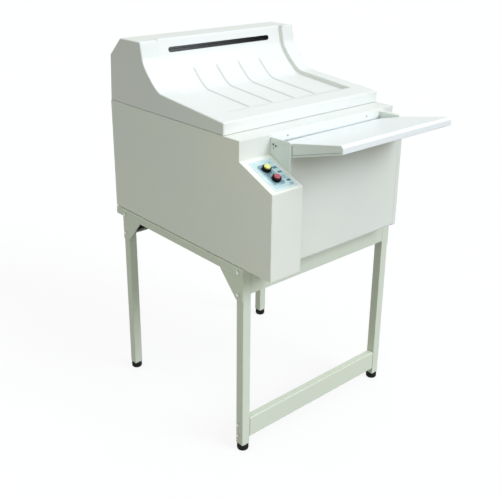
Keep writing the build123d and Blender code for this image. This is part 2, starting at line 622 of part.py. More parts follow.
WORM_R = 9.0
roller("feed_roller_lower", FEED_Y, FEED_Z0, 10.0, gear=10.0, wheel=FEED_Z0 - SHAFT_Z - WORM_R - 0.5)
roller("feed_roller_upper", FEED_Y, FEED_Z1, 10.0, gear=10.0)
for name, y0 in TANKS:
    yc = y0 + TANK_L / 2
    roller(f"{name}_top_roller", yc, TOP_Z, 12.5, gear=12.2, wheel=TOP_Z - SHAFT_Z - WORM_R - 0.5)
    roller(f"{name}_drum", yc, DRUM_Z, 40.0, gear=40.2, hollow=34.0)
roller("exit_roller_lower", EXIT_Y, EXIT_Z0, 9.6, gear=9.6)
roller("exit_roller_upper", EXIT_Y, EXIT_Z1, 9.6, gear=9.6)

# worm shaft along the left of the tanks, coupled to the gear motor behind it
SY0, SY1 = 128.0, 560.0
shaft = CY(SY0, 576.0, SHAFT_X, SHAFT_Z, 6.0)
for yc in (FEED_Y,) + tuple(y0 + TANK_L / 2 for _, y0 in TANKS):
    w = CY(yc - 13, yc + 13, SHAFT_X, SHAFT_Z, WORM_R)
    for k in range(6):
        yy = yc - 11 + 4.4 * k
        w -= CY(yy - 0.9, yy + 0.9, SHAFT_X, SHAFT_Z, WORM_R + 1) - CY(yy - 0.9, yy + 0.9, SHAFT_X, SHAFT_Z, WORM_R - 1.4)
    shaft += w
shaft += CY(548.0, SY1, SHAFT_X, SHAFT_Z, 11.0)
save("drive_shaft", shaft)

blk = []
for y in (194.0, 280.0, 406.0):
    s = B(52, 78, y, y + 6, 850, 871) - CY(y - 1, y + 7, SHAFT_X, SHAFT_Z, 6.0 + RUN)
    blk.append(s)
bushes += blk

motor = CY(562.0, 650.0, SHAFT_X, SHAFT_Z, 28.0)
motor += B(SHAFT_X - 26, SHAFT_X + 26, 562.0, 590.0, SHAFT_Z - 30, SHAFT_Z + 30)
motor += B(SHAFT_X - 20, SHAFT_X + 20, 600.0, 640.0, ZB + SH, SHAFT_Z - 24)
motor -= CY(561.0, 578.0, SHAFT_X, SHAFT_Z, 6.0 + RUN)
save("drive_motor", motor)

# dryer: sheet duct round the film path, with the exit roller bearings in its sides
DP = [(586, ZB + SH), (656, ZB + SH), (656, 1060), (640, 1109), (614, 1109), (600, 1078), (586, 1050)]
duct = PX(DP, *PLATE_L) + PX(DP, *PLATE_R)
duct += B(100, 500, 586, 588, 720, 1050) + B(100, 500, 654, 656, ZB + SH, 1056)
duct += B(100, 500, 588, 654, ZB + SH, ZB + 2 * SH)
for rng in (PLATE_L, PLATE_R):
    for z in (EXIT_Z0, EXIT_Z1):
        duct -= CX(rng[0] - 1, rng[1] + 1, EXIT_Y, z, BUSH_R)
        bushes.append(bush(rng[0], rng[1], EXIT_Y, z))
duct -= B(110, 490, 585, 589, 893, 915)
duct -= B(240, 360, 653, 657, 770, 870)
FAN_Y, FAN_Z = 620.0, 650.0
duct -= CX(95, 101, FAN_Y, FAN_Z, BUSH_R)
duct -= CX(499, 505, FAN_Y, FAN_Z, 8.0)
bushes.append(bush(96, 100, FAN_Y, FAN_Z))
save("dryer_duct", duct)
save("bearings", bushes)

# cross-flow dryer fan: end discs joined by blades round a shaft
fan = CX(94.0, 518.0, FAN_Y, FAN_Z, SHAFT_R)
for xa in (106.0, 236.0, 366.0, 491.0):
    fan += CX(xa, xa + 3, FAN_Y, FAN_Z, 26.0)
for k in range(12):
    a = 30.0 * k
    blade = Pos(300, FAN_Y, FAN_Z) * Rot(a, 0, 0) * Pos(0, 0, 21.5) * Rot(25, 0, 0) * Box(388, 1.6, 9.0)
    fan += blade
save("dryer_fan", fan)
fm = CX(506.0, 566.0, FAN_Y, FAN_Z, 24.0) + B(504.0, 510.0, FAN_Y - 28, FAN_Y + 28, FAN_Z - 28, FAN_Z + 28)
fm += B(515.0, 560.0, FAN_Y - 16, FAN_Y + 16, ZB + SH, FAN_Z - 20)
fm -= CX(503.0, 520.0, FAN_Y, FAN_Z, SHAFT_R + RUN)
save("fan_motor", fm)

heater = []
for z in (740.0, 760.0):
    h = CX(100.0, 500.0, 621.0, z, 4.0)
    for k in range(24):
        h += CX(112 + 16 * k, 113.2 + 16 * k, 621.0, z, 9.0)
    heater.append(h)
save("dryer_heater", heater)

pumps = []
for y in (240.0, 380.0):
    p = CZ(ZB + SH, 625.0, 560.0, y, 32.0) + CZ(625.0, 700.0, 560.0, y, 26.0)
    p += CX(500.0, 560.0, y, 604.0, 8.0) + CZ(604.0, 700.0, 500.0, y, 8.0)
    p += B(530.0, 536.0, y - 20, y + 20, 640.0, 690.0)
    pumps.append(p)
save("recirculation_pumps", pumps)

board = B(8.0, 9.6, 12.0, 112.0, 610.0, 770.0)
for y, z in ((20, 620), (80, 620), (20, 750), (80, 750)):
    board += B(SH, 8.0, y, y + 6, z, z + 6)
for y0, y1, z0, z1, h in ((20, 50, 640, 680, 14), (60, 100, 640, 690, 22), (20, 60, 700, 740, 10), (70, 100, 705, 745, 16)):
    board += B(9.6, 9.6 + h, y0, y1, z0, z1)
save("control_board", board)
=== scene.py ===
import math

import bmesh
import bpy
from mathutils import Matrix, Vector


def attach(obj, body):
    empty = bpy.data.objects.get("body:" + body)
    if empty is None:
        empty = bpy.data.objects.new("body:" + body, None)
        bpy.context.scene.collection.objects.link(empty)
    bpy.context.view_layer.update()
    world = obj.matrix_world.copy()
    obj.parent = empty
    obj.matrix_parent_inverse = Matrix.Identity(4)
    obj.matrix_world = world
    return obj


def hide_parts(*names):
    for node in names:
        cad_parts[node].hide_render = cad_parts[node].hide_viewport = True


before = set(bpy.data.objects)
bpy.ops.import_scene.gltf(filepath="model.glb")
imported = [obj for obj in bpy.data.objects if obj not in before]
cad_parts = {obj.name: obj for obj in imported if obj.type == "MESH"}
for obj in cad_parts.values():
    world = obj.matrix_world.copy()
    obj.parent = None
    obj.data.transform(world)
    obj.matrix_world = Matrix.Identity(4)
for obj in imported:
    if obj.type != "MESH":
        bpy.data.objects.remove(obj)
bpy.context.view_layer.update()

# Working coordinates are millimetres: X from the left side of the body, Y from the
# front of the console to the rear, Z up from the floor. K() turns them into metres
# in the row frame.
XC, YC = 300.0, 318.5


def K(p):
    return ((p[0] - XC) / 1000.0, (p[1] - YC) / 1000.0, p[2] / 1000.0)


# ------------------------------------------------------------------ mesh kit
def round_poly(pts, radii, seg=4):
    """2-D polygon with its corners rounded; radii is one number or one per corner."""
    n = len(pts)
    if not isinstance(radii, (list, tuple)):
        radii = [radii] * n
    out = []
    for i in range(n):
        p, a, b = Vector(pts[i]), Vector(pts[i - 1]), Vector(pts[(i + 1) % n])
        r = radii[i]
        if r <= 0:
            out.append(tuple(p))
            continue
        u, v = (a - p).normalized(), (b - p).normalized()
        ang = u.angle(v)
        t = min(r / math.tan(ang / 2), (a - p).length * 0.49, (b - p).length * 0.49)
        r = t * math.tan(ang / 2)
        c = p + (u + v).normalized() * (r / math.sin(ang / 2))
        s, e = p + u * t - c, p + v * t - c
        a0, a1 = math.atan2(s.y, s.x), math.atan2(e.y, e.x)
        d = (a1 - a0 + math.pi) % (2 * math.pi) - math.pi
        for k in range(seg + 1):
            w = a0 + d * k / seg
            out.append((c.x + r * math.cos(w), c.y + r * math.sin(w)))
    return out


def circle(cx, cy, r, n=24, a0=0.0):
    return [(cx + r * math.cos(a0 + 2 * math.pi * i / n), cy + r * math.sin(a0 + 2 * math.pi * i / n)) for i in range(n)]


class Mesh:
    """Collects vertices and faces in working millimetres."""

    def __init__(self):
        self.v, self.f, self.w = [], [], {}

    def add(self, verts, faces, T=None):
        o = len(self.v)
        self.v += [tuple(T(p)) if T else tuple(p) for p in verts]
        self.f += [[i + o for i in f] for f in faces]
        return self

    def prism(self, pts, axis, a, b, T=None):
        """pts: (y,z) for axis x, (x,z) for axis y, (x,y) for axis z."""
        def q(p, h):
            return {"x": (h, p[0], p[1]), "y": (p[0], h, p[1]), "z": (p[0], p[1], h)}[axis]
        n = len(pts)
        verts = [q(p, a) for p in pts] + [q(p, b) for p in pts]
        faces = [list(range(n))[::-1], [i + n for i in range(n)]]
        faces += [[i, (i + 1) % n, (i + 1) % n + n, i + n] for i in range(n)]
        return self.add(verts, faces, T)

    def box(self, x0, x1, y0, y1, z0, z1, T=None):
        return self.prism([(x0, y0), (x1, y0), (x1, y1), (x0, y1)], "z", z0, z1, T)

    def plate_with_holes(self, outer, holes, axis, a, b, T=None):
        """Flat plate with holes: outline and holes are lists of 2-D points."""
        from mathutils.geometry import tessellate_polygon
        loops = [outer] + holes
        flat = [p for lp in loops for p in lp]
        tris = tessellate_polygon([[Vector((p[0], p[1], 0)) for p in lp] for lp in loops])

        def q(p, h):
            return {"x": (h, p[0], p[1]), "y": (p[0], h, p[1]), "z": (p[0], p[1], h)}[axis]
        n = len(flat)
        verts = [q(p, a) for p in flat] + [q(p, b) for p in flat]
        faces = [list(t)[::-1] for t in tris] + [[i + n for i in t] for t in tris]
        o = 0
        for lp in loops:
            m = len(lp)
            faces += [[o + i, o + (i + 1) % m, o + (i + 1) % m + n, o + i + n] for i in range(m)]
            o += m
        return self.add(verts, faces, T)

    def lathe(self, prof, base, axis, n=32, closed=False):
        """prof: (radius, height along axis) points; ends on the axis are closed."""
        ax = Vector(axis).normalized()
        ref = Vector((0, 0, 1)) if abs(ax.z) < 0.9 else Vector((1, 0, 0))
        u = ax.cross(ref).normalized()
        w = ax.cross(u).normalized()
        base = Vector(base)
        verts, rows = [], []
        for r, h in prof:
            if r <= 1e-6:
                rows.append([len(verts)])
                verts.append(tuple(base + ax * h))
            else:
                rows.append(list(range(len(verts), len(verts) + n)))
                for i in range(n):
                    t = 2 * math.pi * i / n
                    verts.append(tuple(base + ax * h + u * (r * math.cos(t)) + w * (r * math.sin(t))))
        faces = []
        pairs = list(zip(rows, rows[1:]))
        if closed:
            pairs.append((rows[-1], rows[0]))
        for a, b in pairs:
            for i in range(n):
                j = (i + 1) % n
                if len(a) == 1 and len(b) == 1:
                    continue
                if len(a) == 1:
                    faces.append([a[0], b[j], b[i]])
                elif len(b) == 1:
                    faces.append([a[i], a[j], b[0]])
                else:
                    faces.append([a[i], a[j], b[j], b[i]])
        if not closed:
            for row, rev in ((rows[0], True), (rows[-1], False)):
                if len(row) > 1:
                    faces.append(row[::-1] if rev else list(row))
        return self.add(verts, faces)

    def place(self, proto, pos, axis, spin=0.0, scale=1.0):
        """A prototype whose own axis is +Z, set at pos along axis."""
        ax = Vector(axis).normalized()
        R = ax.to_track_quat("Z", "Y").to_matrix() @ Matrix.Rotation(spin, 3, "Z")
        o = Vector(pos)
        return self.add([tuple(R @ (Vector(p) * scale) + o) for p in proto[0]], proto[1])


def to_object(name, m):
    me = bpy.data.meshes.new(name)
    me.from_pydata([K(p) for p in m.v], [], m.f)
    me.validate()
    o = bpy.data.objects.new(name, me)
    bpy.context.scene.collection.objects.link(o)
    return o


def fix_normals(o, outward_from=None):
    bm = bmesh.new()
    bm.from_mesh(o.data)
    bmesh.ops.recalc_face_normals(bm, faces=bm.faces)
    if outward_from is not None:
        ref = Vector(K(outward_from))
        tot = sum((f.calc_center_median() - ref).dot(f.normal) * f.calc_area() for f in bm.faces)
        if tot < 0:
            bmesh.ops.reverse_faces(bm, faces=bm.faces)
    bm.to_mesh(o.data)
    bm.free()


def smooth(o):
    o.data.polygons.foreach_set("use_smooth", [True] * len(o.data.polygons))


def bevel(o, width_mm, seg=3, angle=32.0, weight=False, clamp=True, harden=True):
    b = o.modifiers.new("bevel", "BEVEL")
    b.width = width_mm / 1000.0
    b.segments = seg
    b.limit_method = "WEIGHT" if weight else "ANGLE"
    b.angle_limit = math.radians(angle)
    b.use_clamp_overlap = clamp
    b.harden_normals = harden
    b.miter_outer = "MITER_ARC"
    return b


def bake(o):
    """Apply every modifier."""
    bpy.context.view_layer.update()
    dg = bpy.context.evaluated_depsgraph_get()
    me = bpy.data.meshes.new_from_object(o.evaluated_get(dg), preserve_all_data_layers=True, depsgraph=dg)
    old = o.data
    o.modifiers.clear()
    o.data = me
    bpy.data.meshes.remove(old)
    return o


def cut(o, cutter):
    b = o.modifiers.new("cut", "BOOLEAN")
    b.operation = "DIFFERENCE"
    b.solver = "EXACT"
    b.object = cutter
    bake(o)
    me = cutter.data
    bpy.data.objects.remove(cutter)
    bpy.data.meshes.remove(me)
    return o


def weighted(o):
    w = o.modifiers.new("normals", "WEIGHTED_NORMAL")
    w.mode = "FACE_AREA_WITH_ANGLE"
    w.weight = 60
    w.keep_sharp = True
    return w


def piece(name, m, body, material, bev=0.6, seg=2, angle=32.0, replaces=(), slot=None, normals=True):
    """Closed solids with softened edges."""
    o = to_object(name, m)
    if normals:
        fix_normals(o)
    smooth(o)
    if bev:
        bevel(o, bev, seg, angle)
        weighted(o)
    o.data.materials.append(material)
    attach(o, body)
    if replaces:
        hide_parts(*replaces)
    return o


def shell(name, m, body, material, inside, thick=2.0, fold=3.0, edge=0.35, seg=4, angle=20.0, replaces=()):
    """Sheet metal: an open skin, folded with a radius and given its thickness inwards."""
    o = to_object(name, m)
    bm = bmesh.new()
    bm.from_mesh(o.data)
    bmesh.ops.remove_doubles(bm, verts=bm.verts, dist=1e-6)
    bm.to_mesh(o.data)
    bm.free()
    fix_normals(o, inside)
    smooth(o)
    if fold:
        bevel(o, fold, seg, angle, harden=False)
    s = o.modifiers.new("sheet", "SOLIDIFY")
    s.thickness = thick / 1000.0
    s.offset = -1.0
    s.use_even_offset = True
    s.use_rim = True
    if edge:
        b = bevel(o, edge, 2, 60.0)
    weighted(o)
    o.data.materials.append(material)
    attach(o, body)
    if replaces:
        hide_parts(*replaces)
    return o


# ----------------------------------------------------------------- materials
class Mat:
    """A small wrapper for a procedural material."""

    def __init__(self, name):
        self.m = bpy.data.materials.new(name)
        self.m.use_nodes = True
        self.t = self.m.node_tree
        self.t.nodes.clear()
        self.out = self.n("ShaderNodeOutputMaterial")
        self.p = self.n("ShaderNodeBsdfPrincipled")
        self.t.links.new(self.p.outputs[0], self.out.inputs[0])
        self.tc = self.n("ShaderNodeTexCoord")

    def n(self, kind, **kw):
        x = self.t.nodes.new(kind)
        for k, v in kw.items():
            setattr(x, k, v)
        return x

    def link(self, a, b):
        self.t.links.new(a, b)

    def noise(self, scale, detail=3.0, rough=0.55, stretch=(1, 1, 1), dist=0.0, coord="Object", offset=(0, 0, 0)):
        mp = self.n("ShaderNodeMapping")
        mp.inputs["Scale"].default_value = stretch
        mp.inputs["Location"].default_value = offset
        self.link(self.tc.outputs[coord], mp.inputs["Vector"])
        x = self.n("ShaderNodeTexNoise")
        x.inputs["Scale"].default_value = scale
        x.inputs["Detail"].default_value = detail
        x.inputs["Roughness"].default_value = rough
        x.inputs["Distortion"].default_value = dist
        self.link(mp.outputs[0], x.inputs["Vector"])
        return x.outputs["Fac"]

    def voronoi(self, scale, stretch=(1, 1, 1), feature="F1"):
        mp = self.n("ShaderNodeMapping")
        mp.inputs["Scale"].default_value = stretch
        self.link(self.tc.outputs["Object"], mp.inputs["Vector"])
        x = self.n("ShaderNodeTexVoronoi", feature=feature)
        x.inputs["Scale"].default_value = scale
        self.link(mp.outputs[0], x.inputs["Vector"])
        return x.outputs["Distance"]

    def remap(self, src, a, b, c, d, smoothstep=False):
        x = self.n("ShaderNodeMapRange")
        if smoothstep:
            x.interpolation_type = "SMOOTHSTEP"
        for k, v in zip(("From Min", "From Max", "To Min", "To Max"), (a, b, c, d)):
            x.inputs[k].default_value = v
        self.link(src, x.inputs["Value"])
        return x.outputs[0]

    def mix(self, fac, a, b):
        x = self.n("ShaderNodeMix", data_type="RGBA")
        if isinstance(fac, (int, float)):
            x.inputs[0].default_value = fac
        else:
            self.link(fac, x.inputs[0])
        for s, v in ((x.inputs[6], a), (x.inputs[7], b)):
            if isinstance(v, (tuple, list)):
                s.default_value = (*v[:3], 1.0)
            else:
                self.link(v, s)
        return x.outputs[2]

    def math(self, op, a, b=0.0, clamp=False):
        x = self.n("ShaderNodeMath", operation=op, use_clamp=clamp)
        for s, v in ((x.inputs[0], a), (x.inputs[1], b)):
            if isinstance(v, (int, float)):
                s.default_value = v
            else:
                self.link(v, s)
        return x.outputs[0]

    def bump(self, src, strength, dist_mm, prev=None):
        x = self.n("ShaderNodeBump")
        x.inputs["Strength"].default_value = strength
        x.inputs["Distance"].default_value = dist_mm / 1000.0
        self.link(src, x.inputs["Height"])
        if prev is not None:
            self.link(prev, x.inputs["Normal"])
        return x.outputs[0]

    def pointy(self, lo, hi):
        g = self.n("ShaderNodeNewGeometry")
        return self.remap(g.outputs["Pointiness"], lo, hi, 0.0, 1.0)

    def set(self, **kw):
        for k, v in kw.items():
            s = self.p.inputs[k.replace("_", " ")]
            if isinstance(v, (int, float)):
                s.default_value = v
            elif isinstance(v, (tuple, list)):
                s.default_value = (*v[:3], 1.0)
            else:
                self.link(v, s)
        return self


def tone(c, k):
    return tuple(max(0.0, min(1.0, x * k)) for x in c)


def enamel(name, base, rough=0.36, peel=0.10, texture=False, warm=(1.0, 0.985, 0.95), wear=0.12, flat=1.0):
    """Sprayed enamel on sheet steel: orange peel, faint sheet waviness, yellowing, rubbed edges."""
    m = Mat(name)
    big = m.noise(3.2, 2.0, 0.5)
    mid = m.noise(23.0, 4.0, 0.6, offset=(3.1, 7.7, 1.3))
    col = m.mix(m.remap(big, 0.35, 0.65, 0.0, 1.0), tone(base, 0.975), tuple(b * w for b, w in zip(base, warm)))
    col = m.mix(m.remap(mid, 0.45, 0.85, 0.0, 0.10), col, tone(base, 0.90))
    edge = m.pointy(0.515, 0.60)
    col = m.mix(m.math("MULTIPLY", edge, wear), col, tone(base, 0.70))
    fine = m.noise(620.0 if not texture else 900.0, 2.0, 0.5)
    wave = m.noise(9.0, 1.0, 0.4, offset=(1.7, 0.2, 4.4))
    nrm = m.bump(wave, 0.35 * flat, 0.55)
    nrm = m.bump(fine, peel if not texture else 0.28, 0.12, nrm)
    r = m.remap(m.noise(37.0, 3.0, 0.6, offset=(9.0, 2.0, 5.0)), 0.3, 0.75, rough - 0.05, rough + 0.07)
    m.set(Base_Color=col, Roughness=r, Normal=nrm, Coat_Weight=0.12, Coat_Roughness=0.30)
    return m.m


def moulded(name, base, rough=0.30, grain=0.12, wear=0.08):
    """Thick moulded plastic: soft sink marks, very fine grain, hairline scuffs."""
    m = Mat(name)
    big = m.noise(2.6, 2.0, 0.5, offset=(5.0, 1.0, 2.0))
    col = m.mix(m.remap(big, 0.3, 0.7, 0.0, 1.0), tone(base, 0.985), tuple(b * w for b, w in zip(base, (1.0, 0.992, 0.972))))
    edge = m.pointy(0.512, 0.58)
    col = m.mix(m.math("MULTIPLY", edge, wear), col, tone(base, 0.78))
    fine = m.noise(880.0, 2.0, 0.5)
    sink = m.noise(6.0, 1.0, 0.4, offset=(0.4, 8.1, 3.3))
    scuff = m.noise(60.0, 6.0, 0.75, stretch=(1.0, 9.0, 9.0), dist=0.6)
    nrm = m.bump(sink, 0.25, 0.7)
    nrm = m.bump(fine, grain, 0.08, nrm)
    r = m.remap(scuff, 0.42, 0.80, rough, rough + 0.14)
    m.set(Base_Color=col, Roughness=r, Normal=nrm, IOR=1.49)
    return m.m


def plastic(name, base, rough=0.45, grain=0.35, scale=700.0, wear=0.15, spec=0.5):
    m = Mat(name)
    col = m.mix(m.remap(m.noise(40.0, 3.0), 0.3, 0.7, 0.0, 1.0), tone(base, 0.9), tone(base, 1.1))
    col = m.mix(m.math("MULTIPLY", m.pointy(0.52, 0.60), wear), col, tuple(min(1, b * 1.3 + 0.04) for b in base))
    nrm = m.bump(m.noise(scale, 2.0, 0.5), grain, 0.1)
    r = m.remap(m.noise(90.0, 4.0, 0.65, offset=(2, 2, 2)), 0.3, 0.75, rough - 0.06, rough + 0.08)
    m.set(Base_Color=col, Roughness=r, Normal=nrm, Specular_IOR_Level=spec)
    return m.m


def rubber(name, base=(0.007, 0.007, 0.008), rough=0.72, spec=0.5):
    m = Mat(name)
    dust = m.noise(55.0, 5.0, 0.7)
    col = m.mix(m.remap(dust, 0.45, 0.8, 0.0, 0.35), base, tuple(0.85 * b + 0.035 for b in base))
    nrm = m.bump(m.noise(520.0, 3.0, 0.6), 0.4, 0.15)
    m.set(Base_Color=col, Roughness=m.remap(dust, 0.3, 0.8, rough - 0.08, rough + 0.12), Normal=nrm, Specular_IOR_Level=spec)
    return m.m


def metal(name, base, rough=0.3, stretch=(1, 1, 1), scale=260.0, tint=(0.62, 0.60, 0.55), stain=0.25, aniso=0.0, grain=0.25):
    """Bare or plated metal with a drawn grain along one direction, and stains."""
    m = Mat(name)
    g = m.noise(scale, 4.0, 0.7, stretch=stretch)
    s = m.noise(14.0, 5.0, 0.65, offset=(4, 4, 4))
    col = m.mix(m.remap(g, 0.25, 0.75, 0.0, 1.0), tone(base, 0.90), tone(base, 1.06))
    col = m.mix(m.remap(s, 0.50, 0.85, 0.0, stain), col, tuple(b * t for b, t in zip(base, tint)))
    nrm = m.bump(g, grain, 0.05)
    r = m.remap(g, 0.25, 0.75, rough - 0.07, rough + 0.08)
    m.set(Base_Color=col, Roughness=r, Normal=nrm, Metallic=1.0, Anisotropic=aniso)
    return m.m


def spangle(name, base=(0.60, 0.61, 0.61)):
    """Galvanised sheet."""
    m = Mat(name)
    v = m.n("ShaderNodeTexVoronoi", feature="F1")
    v.inputs["Scale"].default_value = 95.0
    v.inputs["Randomness"].default_value = 1.0
    m.link(m.tc.outputs["Object"], v.inputs["Vector"])
    sep = m.n("ShaderNodeSeparateColor")
    m.link(v.outputs["Color"], sep.inputs[0])
    col = m.mix(m.remap(sep.outputs[0], 0.0, 1.0, 0.0, 1.0), tone(base, 0.86), tone(base, 1.08))
    r = m.remap(sep.outputs[1], 0.0, 1.0, 0.30, 0.50)
    nrm = m.bump(m.noise(300.0, 3.0), 0.15, 0.08)
    m.set(Base_Color=col, Roughness=r, Normal=nrm, Metallic=1.0)
    return m.m


CREAM = (0.788, 0.817, 0.768)
M_BODY = enamel("paint_body", CREAM, rough=0.38)
M_FRONT = enamel("paint_front", tone(CREAM, 1.01), rough=0.36)
# fascia paint: a darker, cooler copy of the body cream, painted shade for the fascia under the ledge and tray
M_FASCIA_SHADE = enamel("paint_fascia_painted_shade", (0.762, 0.786, 0.762), rough=0.38)
M_GUIDE = enamel("paint_guide", (0.72, 0.79, 0.755), rough=0.36, warm=(1.0, 0.995, 0.985))
# edge paint: a brighter copy of the guide paint, painted light on the guide's lit front flange
M_EDGE_LIT = enamel("paint_edge_painted_light", (0.90, 0.93, 0.90), rough=0.3)
# lip rubber: a real lip whose teal-grey colour is partly painted shade for the shadow line along the mouth
M_LIP_AND_SHADOW_LINE = rubber("lip_grey_and_shadow_line", (0.66, 0.72, 0.72), 0.7)
M_TRAY = enamel("paint_tray", (0.875, 0.905, 0.915), rough=0.34, peel=0.07, warm=(1.0, 0.998, 0.99), wear=0.06, flat=0.35)
# tray side paint: a darker copy of the tray paint, painted shade for the sideways faces
M_TRAY_SIDE_SHADE = enamel("paint_tray_side_painted_shade", (0.745, 0.80, 0.775), rough=0.36, peel=0.07, warm=(1.0, 0.998, 0.99), wear=0.06)
M_STAND = enamel("paint_stand", (0.685, 0.745, 0.630), rough=0.34, peel=0.14, wear=0.22)
M_LID = moulded("cover_plastic", (0.745, 0.768, 0.750))
# rib plastic: a greyer copy of the cover plastic, painted shade along the ribs
M_RIB_SHADE = moulded("rib_plastic_painted_shade", (0.615, 0.622, 0.610), rough=0.42)
M_BEZEL = plastic("bezel_black", (0.004, 0.004, 0.005), rough=0.55, grain=0.2, wear=0.0, spec=0.15)
M_BLACK = plastic("black_plastic", (0.022, 0.022, 0.024), rough=0.42)
# hem strip colour: painted shadow of the folded hem
M_HEM_SHADOW = plastic("hem_shadow", (0.30, 0.33, 0.31), rough=0.6, grain=0.2, wear=0.0)
M_BLACKG = plastic("black_gloss", (0.015, 0.015, 0.017), rough=0.25, grain=0.1)
M_YELLOW = plastic("cap_yellow", (0.74, 0.76, 0.24), rough=0.30, grain=0.08)
M_RED = plastic("cap_red", (0.50, 0.10, 0.14), rough=0.30, grain=0.08)


def lining(name, lit_end, dark_end, rough=0.7):
    """Slot lining: painted light and shade, grey at the left end and dark towards the right one."""
    m = Mat(name)
    sep = m.n("ShaderNodeSeparateXYZ")
    m.link(m.tc.outputs["Object"], sep.inputs[0])
    along = m.remap(sep.outputs[0], -0.20, 0.16, 0.0, 1.0)
    col = m.mix(along, lit_end, dark_end)
    spot = m.noise(60.0, 4.0, 0.6)
    m.set(Base_Color=m.mix(m.remap(spot, 0.35, 0.7, 0.0, 0.35), col, dark_end), Roughness=m.remap(spot, 0.3, 0.8, rough - 0.08, rough + 0.1),
          Normal=m.bump(m.noise(520.0, 3.0, 0.6), 0.3, 0.1), Specular_IOR_Level=0.3)
    return m.m


M_RUBBER = rubber("foot_rubber", spec=0.2)
# packing rubber: a real strip whose dark olive colour is partly painted shade for the seam's shadow line
M_GASKET_AND_SEAM_SHADE = rubber("gasket_strip_and_seam_shade", (0.27, 0.28, 0.20), 0.8)
M_ZINC = metal("zinc_plate", (0.62, 0.62, 0.58), rough=0.34, scale=180.0, stain=0.4)
M_SCREW = plastic("dark_screw", (0.11, 0.115, 0.11), rough=0.45, grain=0.2, wear=0.0)
M_SCREWP = plastic("painted_screw", (0.42, 0.44, 0.42), rough=0.40, grain=0.2, wear=0.1)
M_STEEL = spangle("galvanised")
M_STAIN = metal("stainless", (0.66, 0.66, 0.65), rough=0.26, stretch=(1.0, 30.0, 30.0), scale=40.0, aniso=0.4)

# ---------------------------------------------------------------- dimensions
W, D = 600.0, 727.0
ZB, ZTOP = 585.0, 929.0
XCON, YUP, ZC1, ZC2 = 107.0, 123.0, 821.0, 875.0
XFR, YFP, ZGUIDE = 557.0, 48.0, 921.0
SA = math.atan2(ZC2 - ZC1, YUP)
SLEN = math.hypot(YUP, ZC2 - ZC1)


def on_slope(p):
    """(x, distance up the console slope, height above it) to working millimetres."""
    x, s, h = p
    return (x, s * math.cos(SA) - h * math.sin(SA), ZC1 + s * math.sin(SA) + h * math.cos(SA))


SLOPE_N = (0.0, -math.sin(SA), math.cos(SA))


# --------------------------------------------------------------- prototypes
def grab(o):
    """Vertices in millimetres and faces of a scratch object, which is then removed."""
    bake(o)
    v = [((p.co.x * 1000 + XC), (p.co.y * 1000 + YC), p.co.z * 1000) for p in o.data.vertices]
    f = [list(p.vertices) for p in o.data.polygons]
    me = o.data
    bpy.data.objects.remove(o)
    bpy.data.meshes.remove(me)
    return v, f


def pan_screw(r=2.6, h=1.8):
    """Round-head screw with a cross recess: lower disc, upper ring around the cross."""
    m = Mesh()
    m.lathe([(0.0, -0.6), (r * 0.8, -0.6), (r * 0.8, 0.0), (r, 0.12), (r, h * 0.36), (r * 0.97, h * 0.5), (0.0, h * 0.5)], (0, 0, 0), (0, 0, 1), 24)
    a, b = r * 0.5, r * 0.13
    cross = [(a, -b), (a, b), (b, b), (b, a), (-b, a), (-b, b), (-a, b), (-a, -b), (-b, -b), (-b, -a), (b, -a), (b, -b)]
    ring = [r * 0.97, r * 0.90, r * 0.76]
    m.plate_with_holes(circle(0, 0, ring[0], 24), [cross], "z", h * 0.46, h * 0.62)
    m.plate_with_holes(circle(0, 0, ring[1], 24), [cross], "z", h * 0.60, h * 0.80)
    m.plate_with_holes(circle(0, 0, ring[2], 24), [cross], "z", h * 0.78, h * 0.93)
    return m.v, m.f


def hex_bolt(r=5.77, h=3.2, washer=6.5, wt=1.0):
    m = Mesh()
    m.lathe([(0, -0.5), (washer - 0.3, -0.5), (washer - 0.3, 0), (washer, 0.15), (washer, wt - 0.2), (washer - 0.25, wt), (0, wt)], (0, 0, 0), (0, 0, 1), 28)
    hexa = [(r * math.cos(math.radians(60 * k + 30)), r * math.sin(math.radians(60 * k + 30))) for k in range(6)]
    top = [(0.86 * x, 0.86 * y) for x, y in hexa]
    v = [(x, y, wt) for x, y in hexa] + [(x, y, wt + h * 0.84) for x, y in hexa] + [(x, y, wt + h) for x, y in top]
    f = [[5, 4, 3, 2, 1, 0], [12, 13, 14, 15, 16, 17]]
    for a in (0, 6):
        f += [[a + i, a + (i + 1) % 6, a + 6 + (i + 1) % 6, a + 6 + i] for i in range(6)]
    m.add(v, f)
    return m.v, m.f


SCREW = pan_screw()
SCREW_BIG = pan_screw(3.4, 2.2)
BOLT = hex_bolt()

# ------------------------------------------------------------------ the cover
ZLID, YLID, ZLF, ZLT = 930.0, 185.0, 963.0, 1123.0
TH0 = math.atan2(26.3, 267.0)
ARCS = [(60.0, math.radians(38.0)), (330.0, math.radians(50.0)), (70.0, math.radians(78.0))]
RX0, RX1, RD = 64.0, 552.0, 13.0
RAMP0, RAMP1, RIB_TOP = 248.0, 284.0, 1031.0
SX0, SX1, SY = 104.0, 500.0, 562.9   # film exit slot and the surface around it
REAR_TOP, REAR_CH = (659.0, ZLT), (718.0, 1069.0)


def sweep_stations():
    """Stations along the front profile: (kind, value) pairs."""
    st = [("r", y) for y in (185.0, 205.0, 225.0, 238.0, 244.0, 249.0, 254.0, 260.0, 266.0, 272.0, 278.0, 283.0, 287.0, 291.0, 297.0, 306.0, 325.0, 350.0, 380.0, 410.0, 435.0, 452.0)]
    for i, n in enumerate((9, 16, 9)):
        st += [("a%d" % i, k / n) for k in range(1, n + 1)]
    st += [("t", k / 4) for k in range(1, 5)]
    return st


